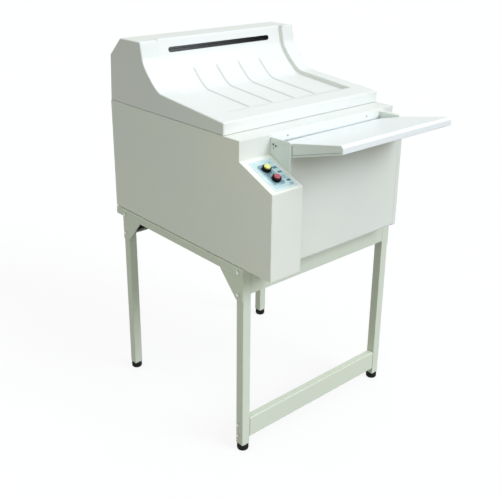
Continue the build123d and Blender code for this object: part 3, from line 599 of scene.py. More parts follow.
def sweep_point(st, d, top):
    kind, v = st
    if kind == "r":
        return (v, ZLF + (v - YLID) * math.tan(TH0) - d / math.cos(TH0))
    th = TH0
    p = (452.0, ZLF + 267.0 * math.tan(TH0))
    for i, (r, th1) in enumerate(ARCS):
        c = (p[0] - r * math.sin(th), p[1] + r * math.cos(th))
        if kind == "a%d" % i:
            t = th + (th1 - th) * v
            q = (c[0] + (r + d) * math.sin(t), c[1] - (r + d) * math.cos(t))
            return q
        p, th = (c[0] + r * math.sin(th1), c[1] - r * math.cos(th1)), th1
    a = (p[0] + d * math.sin(th), p[1] - d * math.cos(th))
    z = a[1] + (top - a[1]) * v
    return (a[0] + (z - a[1]) / math.tan(th), z)


def ramp_factor(st):
    """Share of the recess depth reached at a station: a soft ramp at the front."""
    if st[0] != "r":
        return 1.0
    t = max(0.0, min(1.0, (st[1] - RAMP0 + 6.0) / (RAMP1 - RAMP0 + 10.0)))
    return t * t * (3 - 2 * t)


RIBS = (175.0, 262.0, 349.0, 436.0)
STATIONS = sweep_stations()


def rib_height(i):
    """Height of the ribs at station i, with blunt rounded ends."""
    kind, v = STATIONS[i]
    if kind == "r":
        return max(0.0, min(1.0, (v - RAMP1) / 5.0)) ** 0.6
    z = sweep_point(STATIONS[i], RD, ZLT)[1]
    return max(0.0, min(1.0, (RIB_TOP + 2.0 - z) / 7.0)) ** 0.6


def columns(wall, with_ribs):
    """(x, share of the recess depth, share of rib height) across the cover."""
    c = [(0.0 + wall, 0, 0), (8.0 + wall, 0, 0), (30.0, 0, 0)]
    x0 = RX0 - wall
    left = []
    r1, r2 = 2.4, 3.2
    for k in range(4):
        a = math.pi / 2 * k / 3
        left.append((x0 - r1 + r1 * math.sin(a), r1 * (1 - math.cos(a)) / RD, 0))
    for k in range(4):
        a = math.pi / 2 * k / 3
        left.append((x0 + 0.5 + r2 * (1 - math.cos(a)), (RD - r2 + r2 * math.sin(a)) / RD, 0))
    c += left
    mid = [(95.0, 1, 0), (130.0, 1, 0)]
    if with_ribs:
        for x in RIBS:
            mid += [(x - 4.3, 1, 0), (x - 3.2, 1, 0.24), (x - 1.9, 1, 0.74), (x - 0.6, 1, 0.98), (x + 0.6, 1, 0.98), (x + 1.9, 1, 0.74), (x + 3.2, 1, 0.24), (x + 4.3, 1, 0)]
            if x < 400:
                mid.append((x + 43.5, 1, 0))
    else:
        mid += [(218.0, 1, 0), (305.0, 1, 0), (392.0, 1, 0)]
    mid += [(480.0, 1, 0), (510.0, 1, 0)]
    c += mid
    c += [(RX0 + RX1 - x, d, h) for x, d, h in reversed(left)]
    c += [(570.0, 0, 0), (592.0 - wall, 0, 0), (600.0 - wall, 0, 0)]
    return c


def cover_grid(m, wall, with_ribs):
    """One skin of the cover; returns its rows of vertex numbers from the front bottom
    edge over the top to the rear bottom edge."""
    cols = columns(wall, with_ribs)
    rows = []

    def row(fn):
        o = len(m.v)
        m.v += [fn(x, d, h) for x, d, h in cols]
        rows.append(list(range(o, o + len(cols))))
    top = ZLT - wall
    row(lambda x, d, h: (x, YLID + wall, ZLID))
    for i, st in enumerate(STATIONS):
        f, g = ramp_factor(st), rib_height(i)

        def fn(x, d, h, st=st, f=f, g=g):
            y, z = sweep_point(st, wall + RD * d * f - 2.6 * h * g, top)
            return (x, max(y, YLID + wall), z)
        row(fn)
    y_end = sweep_point(STATIONS[-1], wall, top)[0]
    row(lambda x, d, h: (x, y_end + 26.0, top))
    for y, z in ((REAR_TOP[0] - wall * 0.4, top), (REAR_CH[0] - wall * 0.97, REAR_CH[1] - wall * 0.4), (D - wall, ZLID)):
        row(lambda x, d, h, y=y, z=z: (x, y, z))
    return rows, len(cols)


def make_cover():
    m = Mesh()
    outer, n = cover_grid(m, 0.0, True)
    inner, k = cover_grid(m, 3.0, False)
    skin = []
    for a, b in zip(outer, outer[1:]):
        skin += [[a[i], a[i + 1], b[i + 1], b[i]] for i in range(n - 1)]
    for a, b in zip(inner, inner[1:]):
        skin += [[a[i], b[i], b[i + 1], a[i + 1]] for i in range(k - 1)]
    m.f += skin
    m.f.append([r[0] for r in outer])
    m.f.append([r[-1] for r in outer][::-1])
    m.f.append([r[0] for r in inner][::-1])
    m.f.append([r[-1] for r in inner])
    m.f.append([i for i in outer[0]][::-1] + [i for i in inner[0]])
    m.f.append([i for i in outer[-1]] + [i for i in inner[-1]][::-1])
    m.f.append([outer[0][0], inner[0][0], inner[-1][0], outer[-1][0]])
    m.f.append([outer[0][-1], outer[-1][-1], inner[-1][-1], inner[0][-1]])
    o = to_object("cover_moulding", m)
    # faces over the ribs get the greyer rib plastic: painted shade standing in for the shading along the ribs
    hs = [h for x, d, h in columns(0.0, True)]
    for p in o.data.polygons:
        if len(p.vertices) == 4 and all(v < len(outer) * n for v in p.vertices):
            ri, ci = min(p.vertices) // n, min(v % n for v in p.vertices)
            if 1 <= ri <= len(STATIONS) - 1 and max(v % n for v in p.vertices) == ci + 1:
                if max(hs[ci], hs[ci + 1]) > 0 and max(rib_height(ri - 1), rib_height(ri)) > 0:
                    p.material_index = 1
    o.data.materials.append(M_LID)
    o.data.materials.append(M_RIB_SHADE)
    fix_normals(o)
    # rounding: side edges, front, top and rear edges of the outer skin, rim lightly
    me = o.data
    key = {}
    for e in me.edges:
        key[tuple(sorted(e.vertices))] = e.index
    wt = [0.0] * len(me.edges)

    def mark(a, b, w):
        i = key.get(tuple(sorted((a, b))))
        if i is not None:
            wt[i] = max(wt[i], w)
    for r, s in zip(outer, outer[1:]):
        mark(r[0], s[0], 1.0)
        mark(r[-1], s[-1], 1.0)
    ns = len(STATIONS)
    for ri, w in ((1, 1.0), (ns, 0.85), (ns + 2, 1.0), (ns + 3, 1.0)):
        for i in range(n - 1):
            mark(outer[ri][i], outer[ri][i + 1], w)
    for ri in (0, len(outer) - 1):
        for i in range(n - 1):
            mark(outer[ri][i], outer[ri][i + 1], 0.2)
    mark(outer[0][0], outer[-1][0], 0.2)
    mark(outer[0][-1], outer[-1][-1], 0.2)
    att = me.attributes.new("bevel_weight_edge", "FLOAT", "EDGE")
    att.data.foreach_set("value", wt)
    smooth(o)
    bevel(o, 4.0, 4, weight=True, clamp=False, harden=False)
    bake(o)
    # film exit slot
    y_slot = SY
    c = Mesh()
    h = 7.5
    outline = round_poly([(SX0, 1090 - h), (SX1, 1090 - h), (SX1, 1090 + h), (SX0, 1090 + h)], h * 0.999, 8)
    c.prism(outline, "y", y_slot - 14, y_slot + 16)
    k = to_object("tmp_slot", c)
    fix_normals(k)
    cut(o, k)
    smooth(o)
    bm = bmesh.new()
    bm.from_mesh(o.data)
    for e in bm.edges:
        e.smooth = not (len(e.link_faces) == 2 and e.calc_face_angle(0) > math.radians(48))
    bm.to_mesh(o.data)
    bm.free()
    weighted(o)
    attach(o, "lid")
    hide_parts("top_cover")
    return o


make_cover()

# slot trim: a rounded black lip lining the film exit, with felt wipers behind it
TH_TOP = math.radians(78.0)


def slot_outline(grow, seg=8):
    h = 7.5 + grow
    return round_poly([(SX0 - grow, 1090 - h), (SX1 + grow, 1090 - h), (SX1 + grow, 1090 + h), (SX0 - grow, 1090 + h)], h * 0.999, seg)


def lip_ring(m, rings):
    """Closed ring through outlines given as (grow, distance behind the slot face)."""
    loops = []
    for g, b in rings:
        pts = slot_outline(g)
        o = len(m.v)
        for x, z in pts:
            y = SY + (z - 1090.0) / math.tan(TH_TOP) + b
            m.v.append((x, y, z))
        loops.append(list(range(o, o + len(pts))))
    n = len(loops[0])
    for a, b in zip(loops, loops[1:] + loops[:1]):
        m.f += [[a[i], a[(i + 1) % n], b[(i + 1) % n], b[i]] for i in range(n)]


m = Mesh()
lip_ring(m, [(-0.05, -0.4), (-0.35, -0.75), (-0.95, -0.6), (-1.25, 0.0), (-1.25, 4.4), (-0.05, 4.4)])
# slot lining and felt: painted light and shade, grey at the left end and dark towards the right
M_SLOT = lining("slot_lining", (0.085, 0.093, 0.098), (0.010, 0.011, 0.012))
piece("slot_lip", m, "lid", M_SLOT, bev=0, replaces=("exit_slot_trim",), slot="black_plastic")
m = Mesh()
for s in (-1, 1):
    z0, z1 = sorted((1090.0 + s * 1.1, 1090.0 + s * 7.4))
    m.prism([(SY + 4.3, z0), (SY + 5.7, z0), (SY + 5.7, z1), (SY + 4.3, z1)], "x", SX0 + 2, SX1 - 2)
M_FELT = lining("wiper_felt", (0.16, 0.17, 0.175), (0.008, 0.008, 0.009), 0.95)
piece("slot_wipers", m, "lid", M_FELT, bev=0.3)

# ---------------------------------------------------------------- body panels
side = [(0, ZB), (0, ZC1), (YUP, ZC2), (YUP, ZTOP), (D, ZTOP), (D, ZB)]
m = Mesh()
m.prism(round_poly(side, [1.0, 1.2, 0.6, 0.8, 0.8, 1.0], 2), "x", 0.0, 2.0)
piece("panel_left", m, "frame", M_BODY, bev=0.7, seg=3, replaces=("left_side_panel",), slot="body_white")
m = Mesh()
m.prism(round_poly([(YUP, ZB), (YUP, ZTOP), (D, ZTOP), (D, ZB)], 1.0, 2), "x", W - 2.0, W)
piece("panel_right", m, "frame", M_BODY, bev=0.7, seg=3, replaces=("right_side_panel",), slot="body_white")

# console cover: front, slope and right wall folded from one sheet, open behind
m = Mesh()
a, b = 2.15, XCON
v = [(a, 0, ZB), (b, 0, ZB), (a, 0, ZC1), (b, 0, ZC1), (a, YUP, ZC2), (b, YUP, ZC2), (b, YUP, ZB)]
m.add(v, [[0, 1, 3, 2], [2, 3, 5, 4], [1, 6, 5, 3]])
o = shell("console_skin", m, "frame", M_BODY, (50, 80, 700), fold=3.2, replaces=("console_cover",))

# fascia: face with the feed mouth, ledge and its down-turned rear edge
m = Mesh()
xs, zs = [2.15, 109.0, 541.0, 598.0 - 0.15], [ZB + 2, 898.0, 903.0, ZTOP]
g = {}
for i, x in enumerate(xs):
    for j, z in enumerate(zs):
        g[i, j] = len(m.v)
        m.v.append((x, YUP, z))
for i in range(3):
    for j in range(3):
        if (i, j) != (1, 1):
            m.f.append([g[i, j], g[i + 1, j], g[i + 1, j + 1], g[i, j + 1]])
back, lip = [], []
for x in xs:
    back.append(len(m.v)); m.v.append((x, 200.0, ZTOP))
for x in xs:
    lip.append(len(m.v)); m.v.append((x, 200.0, 921.0))
for i in range(3):
    m.f.append([g[i, 3], g[i + 1, 3], back[i + 1], back[i]])
    m.f.append([back[i], back[i + 1], lip[i + 1], lip[i]])
# hemmed edges of the mouth turn inwards
hem = {}
for i, j in ((1, 1), (2, 1), (2, 2), (1, 2)):
    hem[i, j] = len(m.v)
    m.v.append((xs[i], YUP + (4.0 if j == 1 else 6.0), zs[j]))
ring = [(1, 1), (2, 1), (2, 2), (1, 2)]
for p, q in zip(ring, ring[1:] + ring[:1]):
    m.f.append([g[p], g[q], hem[q], hem[p]])
# the fascia is painted a shade darker than the body: painted shade
shell("fascia_skin", m, "frame", M_FASCIA_SHADE, (300, 400, 700), thick=1.9, fold=1.6, replaces=("front_fascia",))
m = Mesh()
for xa, xb in ((109.6, 494.0), (510.0, 540.4)):
    m.box(xa, xb, YUP + 3.8, 138.0, 896.1, 897.95)
piece("mouth_fold", m, "frame", M_FRONT, bev=0.5)
# soft light-tight lip along the upper edge of the mouth; its teal-grey colour is partly painted shade, standing in for
# the shadow line under the strip
m = Mesh()
m.prism(round_poly([(120.7, 900.5), (122.9, 900.5), (122.9, 904.6), (120.9, 904.6)], 0.7, 3), "x", 112.4, 538.6)
piece("mouth_lip", m, "frame", M_LIP_AND_SHADOW_LINE, bev=0)

# front panel of the feed unit with its folded top edge
m = Mesh()
v = [(113.2, YFP, ZB + 2), (540.8, YFP, ZB + 2), (113.2, YFP, 885), (540.8, YFP, 885), (113.2, 60, 885), (540.8, 60, 885), (113.2, YFP + 16, ZB + 2), (540.8, YFP + 16, ZB + 2)]
m.add(v, [[0, 1, 3, 2], [2, 3, 5, 4], [0, 6, 7, 1]])
shell("front_skin", m, "frame", M_FRONT, (300, 80, 700), fold=3.0, replaces=("front_panel",))

# left feed guide: side plate with a rounded upper corner and a front flange
def guide_outline(z_top=ZGUIDE, r=9.0):
    return round_poly([(YFP + 0.2, ZB), (YUP, ZB), (YUP, z_top), (YFP + 0.2, z_top)], [0.5, 0.5, 0.5, r], 8)


PIV_Y, PIV_Z = 111.5, 893.5
m = Mesh()
hole = circle(PIV_Y, PIV_Z, 3.05, 16)
m.plate_with_holes(guide_outline(), [hole], "x", XCON + 0.1, XCON + 2.0)
piece("guide_left", m, "frame", M_GUIDE, bev=0.35, seg=2, replaces=("feed_guide_left",), slot="guide_white")
m = Mesh()
# the front flange is painted brighter than the guide plate: painted light
m.prism(round_poly([(XCON + 0.05, YFP + 4.5), (XCON + 0.05, YFP), (113.0, YFP), (113.0, YFP + 2.0), (XCON + 3.2, YFP + 2.0), (XCON + 2.1, YFP + 4.5)], [0.1, 3.6, 0.5, 0.2, 1.6, 0.1], 5), "z", ZB, ZGUIDE - 8.0)
m.box(112.6, 119.0, YFP, YFP + 2.0, 885.3, ZGUIDE - 9.2)
piece("guide_left_flange", m, "frame", M_EDGE_LIT, bev=0.2)
# right feed guide: a folded box column with a rounded upper corner
m = Mesh()
m.plate_with_holes(guide_outline(), [hole], "x", 541.0, 543.0)
piece("guide_right_inner", m, "frame", M_GUIDE, bev=0.35, replaces=("feed_guide_right",), slot="guide_white")
m = Mesh()
arc = [(YFP + 9.0 - 9.0 * math.cos(math.radians(t)), ZGUIDE - 9.0 + 9.0 * math.sin(math.radians(t))) for t in range(0, 91, 15)]
line = [(YFP, ZB)] + arc + [(YUP, ZGUIDE)]
o0 = len(m.v)
for y, z in line:
    m.v += [(543.1, y, z), (XFR, y, z)]
n = len(line)
m.f += [[o0 + 2 * i, o0 + 2 * i + 1, o0 + 2 * i + 3, o0 + 2 * i + 2] for i in range(n - 1)]
m.v.append((XFR, YUP, ZB))
m.f.append([o0 + 2 * i + 1 for i in range(n)] + [len(m.v) - 1])
shell("guide_right_skin", m, "frame", M_FRONT, (548, 100, 700), fold=0.9)

# rear panel with rows of vents, the collar hole and the service cut-outs
m = Mesh()
holes = [circle(300.0, 820.0, 48.0, 48), [(55.9, 614.4), (84.1, 614.4), (84.1, 635.6), (55.9, 635.6)], [(93.4, 610.4), (114.6, 610.4), (114.6, 639.6), (93.4, 639.6)]]
for x in (420.0, 470.0, 530.0):
    holes.append(circle(x, 625.0, 10.05, 20))
for k in range(7):
    for xa in (60.0, 440.0):
        holes.append(round_poly([(xa, 690 + 14 * k), (xa + 100, 690 + 14 * k), (xa + 100, 694 + 14 * k), (xa, 694 + 14 * k)], 1.95, 4))
m.plate_with_holes([(2.1, ZB), (W - 2.1, ZB), (W - 2.1, ZTOP), (2.1, ZTOP)], holes, "y", D - 2.0, D)
piece("panel_rear", m, "frame", M_BODY, bev=0.3, seg=2, replaces=("rear_panel",), slot="body_white")
# pressed hoods over the vents
m = Mesh()
for k in range(7):
    for xa in (60.0, 440.0):
        z = 694.0 + 14 * k
        n = 8
        v, f = [], []
        for i in range(n + 1):
            t = math.pi / 2 * i / n
            y, zz = D + 4.6 * math.sin(t), z - 3.4 + 6.2 * math.cos(t)
            v += [(xa - 2.0, y, zz), (xa + 102.0, y, zz)]
        for i in range(n):
            f.append([2 * i, 2 * i + 1, 2 * i + 3, 2 * i + 2])
        o0 = len(v)
        v += [(xa - 2.0, D, z - 3.4), (xa + 102.0, D, z - 3.4)]
        f.append([2 * i for i in range(n + 1)] + [o0])
        f.append([2 * i + 1 for i in range(n + 1)][::-1] + [o0 + 1])
        m.add(v, f)
o = to_object("vent_hoods", m)
fix_normals(o)
smooth(o)
s = o.modifiers.new("sheet", "SOLIDIFY")
s.thickness, s.offset = 0.0009, -1.0
weighted(o)
o.data.materials.append(M_BODY)
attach(o, "frame")

# ------------------------------------------------------------------ feed tray
TX0, TX1, TY0, TY1 = 110.0, 540.0, -120.0, 117.5


def tray_z(y):
    if y > 41.0:
        return 921.0 - (921.0 - 901.5) * (y - 41.0) / (TY1 - 41.0)
    return 921.0 + 0.187 * (41.0 - y)


m = Mesh()
TYF, LIP_T, LIP_B, YFL = -114.5, 944.5, 927.7, YFP - 4.0
v = [(TX0, TY1, tray_z(TY1)), (TX1, TY1, tray_z(TY1)), (TX0, 41, 921), (TX1, 41, 921), (TX0, YFL, tray_z(YFL)), (TX1, YFL, tray_z(YFL)),
     (TX0, TYF, tray_z(TYF)), (TX1, TYF, tray_z(TYF)), (TX0, TY0, LIP_B), (TX1, TY0, LIP_B), (TX0 + 1.8, TY0 + 12, LIP_B), (TX1 - 1.8, TY0 + 12, LIP_B),
     (TX0, YFL, 883), (TX1, YFL, 883), (TX0, YFL, 913.6), (TX1, YFL, 913.6), (TX0, 60, 913.6), (TX1, 60, 913.6), (TX0, 60, tray_z(60)), (TX1, 60, tray_z(60)),
     (TX0, TY0, LIP_T), (TX1, TY0, LIP_T)]
f = [[0, 1, 19, 18], [18, 19, 5, 4], [4, 5, 3, 2], [2, 3, 7, 6], [6, 7, 21, 20], [20, 21, 9, 8], [8, 9, 11, 10],
     [2, 6, 20, 8, 12, 14], [4, 2, 14], [18, 4, 14, 16], [3, 15, 13, 9, 21, 7], [5, 15, 3], [19, 17, 15, 5]]
m.add(v, f)
o = shell("tray_sheet", m, "feed_tray", M_TRAY, (325, -40, 850), thick=1.6, fold=1.9, replaces=("feed_tray",))
# the side flanges are painted darker and greener than the top: painted shade on the faces turned sideways
o.data.materials.append(M_TRAY_SIDE_SHADE)
for p in o.data.polygons:
    if abs(p.normal.x) > 0.9:
        p.material_index = 1
# a thin dark strip along each side flange: painted shadow of the hem fold
m = Mesh()
for xa, xb in ((TX0 - 0.7, TX0 + 0.3), (TX1 - 0.3, TX1 + 0.7)):
    m.prism([(-113.0, 932.6), (-113.0, 931.4), (42.0, 888.9), (42.0, 890.1)], "x", xa, xb)
piece("tray_hem_painted_shadow", m, "feed_tray", M_HEM_SHADOW, bev=0)
m = Mesh()
for xa in (113.0, 534.5):
    ear = [(PIV_Y - 5.5, tray_z(PIV_Y - 5.5) - 1.2), (PIV_Y + 5.5, tray_z(PIV_Y + 5.5) - 1.2)]
    c = [(PIV_Y + 5.5 * math.cos(math.radians(a)), PIV_Z + 5.5 * math.sin(math.radians(a))) for a in (0, -30, -60, -90, -120, -150, -180)]
    m.plate_with_holes(ear + c, [circle(PIV_Y, PIV_Z, 3.1, 16)], "x", xa, xa + 2.5)
piece("tray_ears", m, "feed_tray", M_TRAY, bev=0.3)

# ---------------------------------------------------------------------- stand
T, XL, XR, YLF, YLR = 28.0, 0.0, 600.0, 103.0, 690.0
LEG0, LEG1, RAIL_B = 21.0, 580.0, 558.0
BF, BR = YLF + 19.0, YLR - T / 2
for nm, x0, y0 in (("front_left", XL, YLF), ("front_right", XR - T, YLF), ("rear_left", XL, YLR - T), ("rear_right", XR - T, YLR - T)):
    m = Mesh()
    out = round_poly([(x0, y0), (x0 + T, y0), (x0 + T, y0 + T), (x0, y0 + T)], 2.2, 5)
    inn = round_poly([(x0 + 1.5, y0 + 1.5), (x0 + T - 1.5, y0 + 1.5), (x0 + T - 1.5, y0 + T - 1.5), (x0 + 1.5, y0 + T - 1.5)], 1.2, 3)
    n = len(out)
    m.plate_with_holes(out, [inn], "z", LEG0, LEG1)
    piece("tube_" + nm, m, "frame", M_STAND, bev=0.25, seg=2, angle=60, replaces=("leg_" + nm,), slot="stand_green")

# side rails: angle sections under the body
for nm, x_out, x_in, s in (("left", XL - 2.0, 28.0, -1), ("right", XR + 2.0, 572.0, 1)):
    m = Mesh()
    zt = LEG1 + 2.0
    v = [(x_out, YLF, RAIL_B), (x_out, D - 2, RAIL_B), (x_out, YLF, zt), (x_out, D - 2, zt), (x_in, YLF, zt), (x_in, D - 2, zt)]
    m.add(v, [[0, 1, 3, 2], [2, 3, 5, 4]])
    shell("rail_" + nm, m, "frame", M_STAND, (300, 400, 400), fold=2.6, replaces=("side_rail_" + nm,))
    # packing strips between body and side rails; their dark olive colour is partly painted shade along the seam
    m = Mesh()
    m.box(min(x_in, XL + 7.0 if s < 0 else x_in), max(x_in, XR - 7.0 if s > 0 else x_in), YLF + 1.0 if s < 0 else YUP + 1.0, D - 3.0, zt, ZB - 0.05)
    piece("rail_spacer_" + nm, m, "frame", M_GASKET_AND_SEAM_SHADE, bev=0.3)


def channel(name, node, y_web, sgn, x0, x1, z0, z1, depth):
    m = Mesh()
    fa = y_web + sgn * depth
    v = [(x0, fa, z1), (x1, fa, z1), (x0, y_web, z1), (x1, y_web, z1), (x0, y_web, z0), (x1, y_web, z0), (x0, fa, z0), (x1, fa, z0)]
    m.add(v, [[0, 1, 3, 2], [2, 3, 5, 4], [4, 5, 7, 6]])
    return shell(name, m, "frame", M_STAND, ((x0 + x1) / 2, y_web + sgn * depth, (z0 + z1) / 2), fold=2.6, replaces=(node,) if node else ())


channel("rail_front", "front_top_rail", YLF + 0.5, 1, XL + T + 0.2, XR - T - 0.2, 503.0, LEG1, 19.0)
channel("rail_rear", "rear_top_rail", YLR - 0.5, -1, XL + T + 0.2, XR - T - 0.2, 495.0, LEG1, 19.0)
# black rubber pads inside the rear rail: a dark sheet as painted shade where the rail lies in the body's shadow
m = Mesh()
for xa, xb in ((30.0, 140.0), (460.0, 570.0)):
    m.box(xa, xb, 683.5, 687.3, 498.5, 576.5)
piece("rail_rear_shadow_pads", m, "frame", M_RUBBER, bev=0.5)
channel("rail_low", "lower_front_rail", YLF + 0.5, 1, XL + T + 2, XR - T - 2, 41.0, 104.0, 21.0)
m = Mesh()
for xa, xb in ((XL + T, XL + T + 4), (XR - T - 4, XR - T)):
    m.box(xa, xb, YLF + 2.6, YLF + 19, 43.2, 101.8)
piece("rail_low_tabs", m, "frame", M_STAND, bev=0.5)

# gusset plates with rounded corners, screwed to the legs
m = Mesh()
for x0 in (XL - 2.0, XR):
    for pts, b in (
        ([(YLF + 1, 486), (YLF + T, 486), (200, RAIL_B), (YLF + 1, RAIL_B)], (BF, 504.0)),
        ([(YLR - 1, 480), (YLR - T, 480), (592, RAIL_B), (YLR - 1, RAIL_B)], (BR, 504.0)),
    ):
        m.plate_with_holes(round_poly(pts, [2.0, 2.0, 1.0, 0.3], 3), [circle(b[0], b[1], 3.0, 14)], "x", x0, x0 + 2.0)
piece("gussets", m, "frame", M_STAND, bev=0.35, replaces=("gusset_plates",), slot="stand_green")

# weld fillets between gussets and rails
m = Mesh()
for x, s in ((XL - 2.0, -1), (XR + 2.0, 1)):
    for ya, yb in ((YLF + 6, 196), (596, YLR - 6)):
        n = int((yb - ya) / 3.2)
        ring = []
        for i in range(n + 1):
            y = ya + (yb - ya) * i / n
            r = 1.15 + 0.22 * math.sin(i * 2.1) + 0.12 * math.sin(i * 5.3 + 1)
            if i in (0, n):
                r *= 0.35
            loop = []
            for k in range(7):
                a = math.pi * k / 6
                loop.append((x + s * r * math.sin(a) * 0.8, y, RAIL_B + r * 1.2 * math.cos(a)))
            o0 = len(m.v)
            m.v += loop
            ring.append(list(range(o0, o0 + 7)))
        for a, b in zip(ring, ring[1:]):
            m.f += [[a[k], a[(k + 1) % 7], b[(k + 1) % 7], b[k]] for k in range(7)]
        m.f.append(ring[0][::-1])
        m.f.append(ring[-1])
piece("weld_beads", m, "frame", M_STAND, bev=0)

m = Mesh()
FB = [(BF, 570.0), (BF, 504.0), (BR, 566.0), (BR, 504.0)]
for i, (y, z) in enumerate(FB):
    m.place(BOLT, (XL - 2.0, y, z), (-1, 0, 0), 0.3 + 0.7 * i)
    m.place(BOLT, (XR + 2.0, y, z), (1, 0, 0), 0.9 + 0.5 * i)
for i, (y, z) in enumerate([(BF, 86.0), (BF, 50.0)]):
    m.place(BOLT, (XL, y, z), (-1, 0, 0), 0.2 + 0.9 * i)
    m.place(BOLT, (XR, y, z), (1, 0, 0), 1.2 + 0.4 * i)
piece("hex_bolts", m, "frame", M_ZINC, bev=0.22, seg=2, angle=25, replaces=("frame_bolts",), slot="zinc")

# rubber feet: a ribbed plug with a rounded sole
m = Mesh()
for x in (XL + T / 2, XR - T / 2):
    for y in (YLF + T / 2, YLR - T / 2):
        prof = [(0, 0.7), (7.0, 0.7), (7.6, 0.0), (10.6, 0.0)]
        prof += [(11.0 + 6.0 * math.sin(a), 6.0 - 6.0 * math.cos(a)) for a in (0.15, 0.45, 0.75, 1.05, 1.35, 1.57)]
        prof += [(17.0, 8.6), (16.5, 9.2), (16.5, 10.2), (17.0, 10.8), (17.0, 16.6), (16.7, 17.9), (15.9, 18.9), (14.6, 19.4), (13.2, 19.5), (13.0, 20.0), (13.0, 20.9), (0, 20.9)]
        m.lathe(prof, (x, y, 0), (0, 0, 1), 48)
        q = T / 2 - 1.55
        m.prism(round_poly([(x - q, y - q), (x + q, y - q), (x + q, y + q), (x - q, y + q)], 1.5, 3), "z", 21.0, 39.0)
piece("feet", m, "frame", M_RUBBER, bev=0.3, seg=2, angle=40, replaces=("rubber_feet",), slot="rubber_black")

# -------------------------------------------------------------------- console
BTN_X, BTN_S = 50.0, (84.0, 44.0)
m = Mesh()
m.plate_with_holes(round_poly([(19, 8), (95, 8), (95, 120), (19, 120)], 3.0, 5), [circle(BTN_X, s, 8.1, 24) for s in BTN_S], "z", 0.02, 0.9, T=on_slope)
M_LABEL = plastic("label_film", (0.50, 0.655, 0.685), rough=0.30, grain=0.05)
piece("label_base", m, "frame", M_LABEL, bev=0.25, replaces=("label_plate",), slot="label_blue")
# printed areas: a pale border line, the darker field round the buttons and plain marks
M_INKW = plastic("ink_pale", (0.74, 0.85, 0.88), rough=0.3, grain=0.05)
M_INKB = plastic("ink_blue", (0.25, 0.40, 0.45), rough=0.3, grain=0.05)
M_INKT = plastic("ink_teal", (0.05, 0.20, 0.26), rough=0.35, grain=0.05)


def frame_plate(m, x0, x1, s0, s1, w, r, h0, h1):
    m.plate_with_holes(round_poly([(x0, s0), (x1, s0), (x1, s1), (x0, s1)], r, 5),
                       [round_poly([(x0 + w, s0 + w), (x1 - w, s0 + w), (x1 - w, s1 - w), (x0 + w, s1 - w)], max(0.4, r - w), 5)], "z", h0, h1, T=on_slope)


m = Mesh()
frame_plate(m, 20.5, 93.5, 9.5, 118.5, 3.2, 2.4, 0.85, 1.0)
piece("label_border", m, "frame", M_INKW, bev=0)
m = Mesh()
m.plate_with_holes(round_poly([(31, 24), (69, 24), (69, 104), (31, 104)], 9.0, 8), [circle(BTN_X, s, 12.05, 28) for s in BTN_S], "z", 0.85, 1.0, T=on_slope)
piece("label_field", m, "frame", M_INKB, bev=0)
m = Mesh()
# plain marks: a bar beside the start button, a ring beside the stop button, a triangle, and short bars and lines
m.prism(round_poly([(72.5, 81.0), (86.0, 81.0), (86.0, 89.0), (72.5, 89.0)], 1.5, 3), "z", 0.85, 1.02, T=on_slope)
m.plate_with_holes(circle(78.2, 47.0, 5.0, 24), [circle(78.2, 47.0, 3.3, 24)], "z", 0.85, 1.02, T=on_slope)
m.prism(circle(78.2, 106.0, 3.2, 3, math.pi / 2), "z", 0.85, 1.02, T=on_slope)
m.prism(round_poly([(74.0, 63.5), (89.0, 63.5), (89.0, 69.5), (74.0, 69.5)], 1.5, 3), "z", 0.85, 1.02, T=on_slope)
m.prism(round_poly([(77.0, 29.0), (90.0, 29.0), (90.0, 36.0), (77.0, 36.0)], 1.5, 3), "z", 0.85, 1.02, T=on_slope)
m.prism([(76.0, 20.0), (90.0, 20.0), (90.0, 21.8), (76.0, 21.8)], "z", 0.85, 1.02, T=on_slope)
m.prism([(76.0, 15.5), (86.0, 15.5), (86.0, 17.0), (76.0, 17.0)], "z", 0.85, 1.02, T=on_slope)
piece("label_marks", m, "frame", M_INKT, bev=0)

# button bezels: knurled black collars
m = Mesh()
for s in BTN_S:
    n = 60
    prof = [(8.0, -3.6, 0), (8.0, 0.95, 0), (11.6, 1.0, 0), (12.0, 1.5, 0), (12.0, 7.8, 1), (12.0, 8.2, 0), (11.8, 10.4, 0), (11.2, 11.0, 0), (10.4, 11.0, 0), (10.0, 10.6, 0), (10.0, 5.0, 0), (6.0, 5.0, 0), (6.0, -3.6, 0)]
    prof = prof[:4] + [(11.85, 2.2, 1), (11.85, 7.6, 1)] + prof[5:]
    rows = []
    for r, h, k in prof:
        row = []
        for i in range(n):
            t = 2 * math.pi * i / n
            rr = r + (0.16 if (i % 2 and k) else 0.0)
            row.append(len(m.v))
            m.v.append(on_slope((BTN_X + rr * math.cos(t), s + rr * math.sin(t), h)))
        rows.append(row)
    for a, b in zip(rows, rows[1:] + rows[:1]):
        m.f += [[a[i], a[(i + 1) % n], b[(i + 1) % n], b[i]] for i in range(n)]
piece("bezels", m, "frame", M_BEZEL, bev=0.15, seg=2, angle=30, replaces=("button_bezels",), slot="black_plastic")

for nm, s, mt, sl in (("start_button", BTN_S[0], M_YELLOW, "cap_yellow"), ("stop_button", BTN_S[1], M_RED, "cap_red")):
    m = Mesh()
    base = on_slope((BTN_X, s, 0.0))
    prof = [(0, 4.7), (5.4, 4.7), (5.4, 8.8), (8.4, 8.8), (8.7, 9.2), (8.7, 12.8), (8.4, 13.7), (7.8, 14.25), (6.9, 14.5), (6.2, 14.35), (4.6, 13.95), (2.4, 13.75), (0, 13.7)]
    m.lathe(prof, base, SLOPE_N, 48)
    piece(nm.replace("_button", "_cap"), m, nm, mt, bev=0, replaces=(nm,), slot=sl)

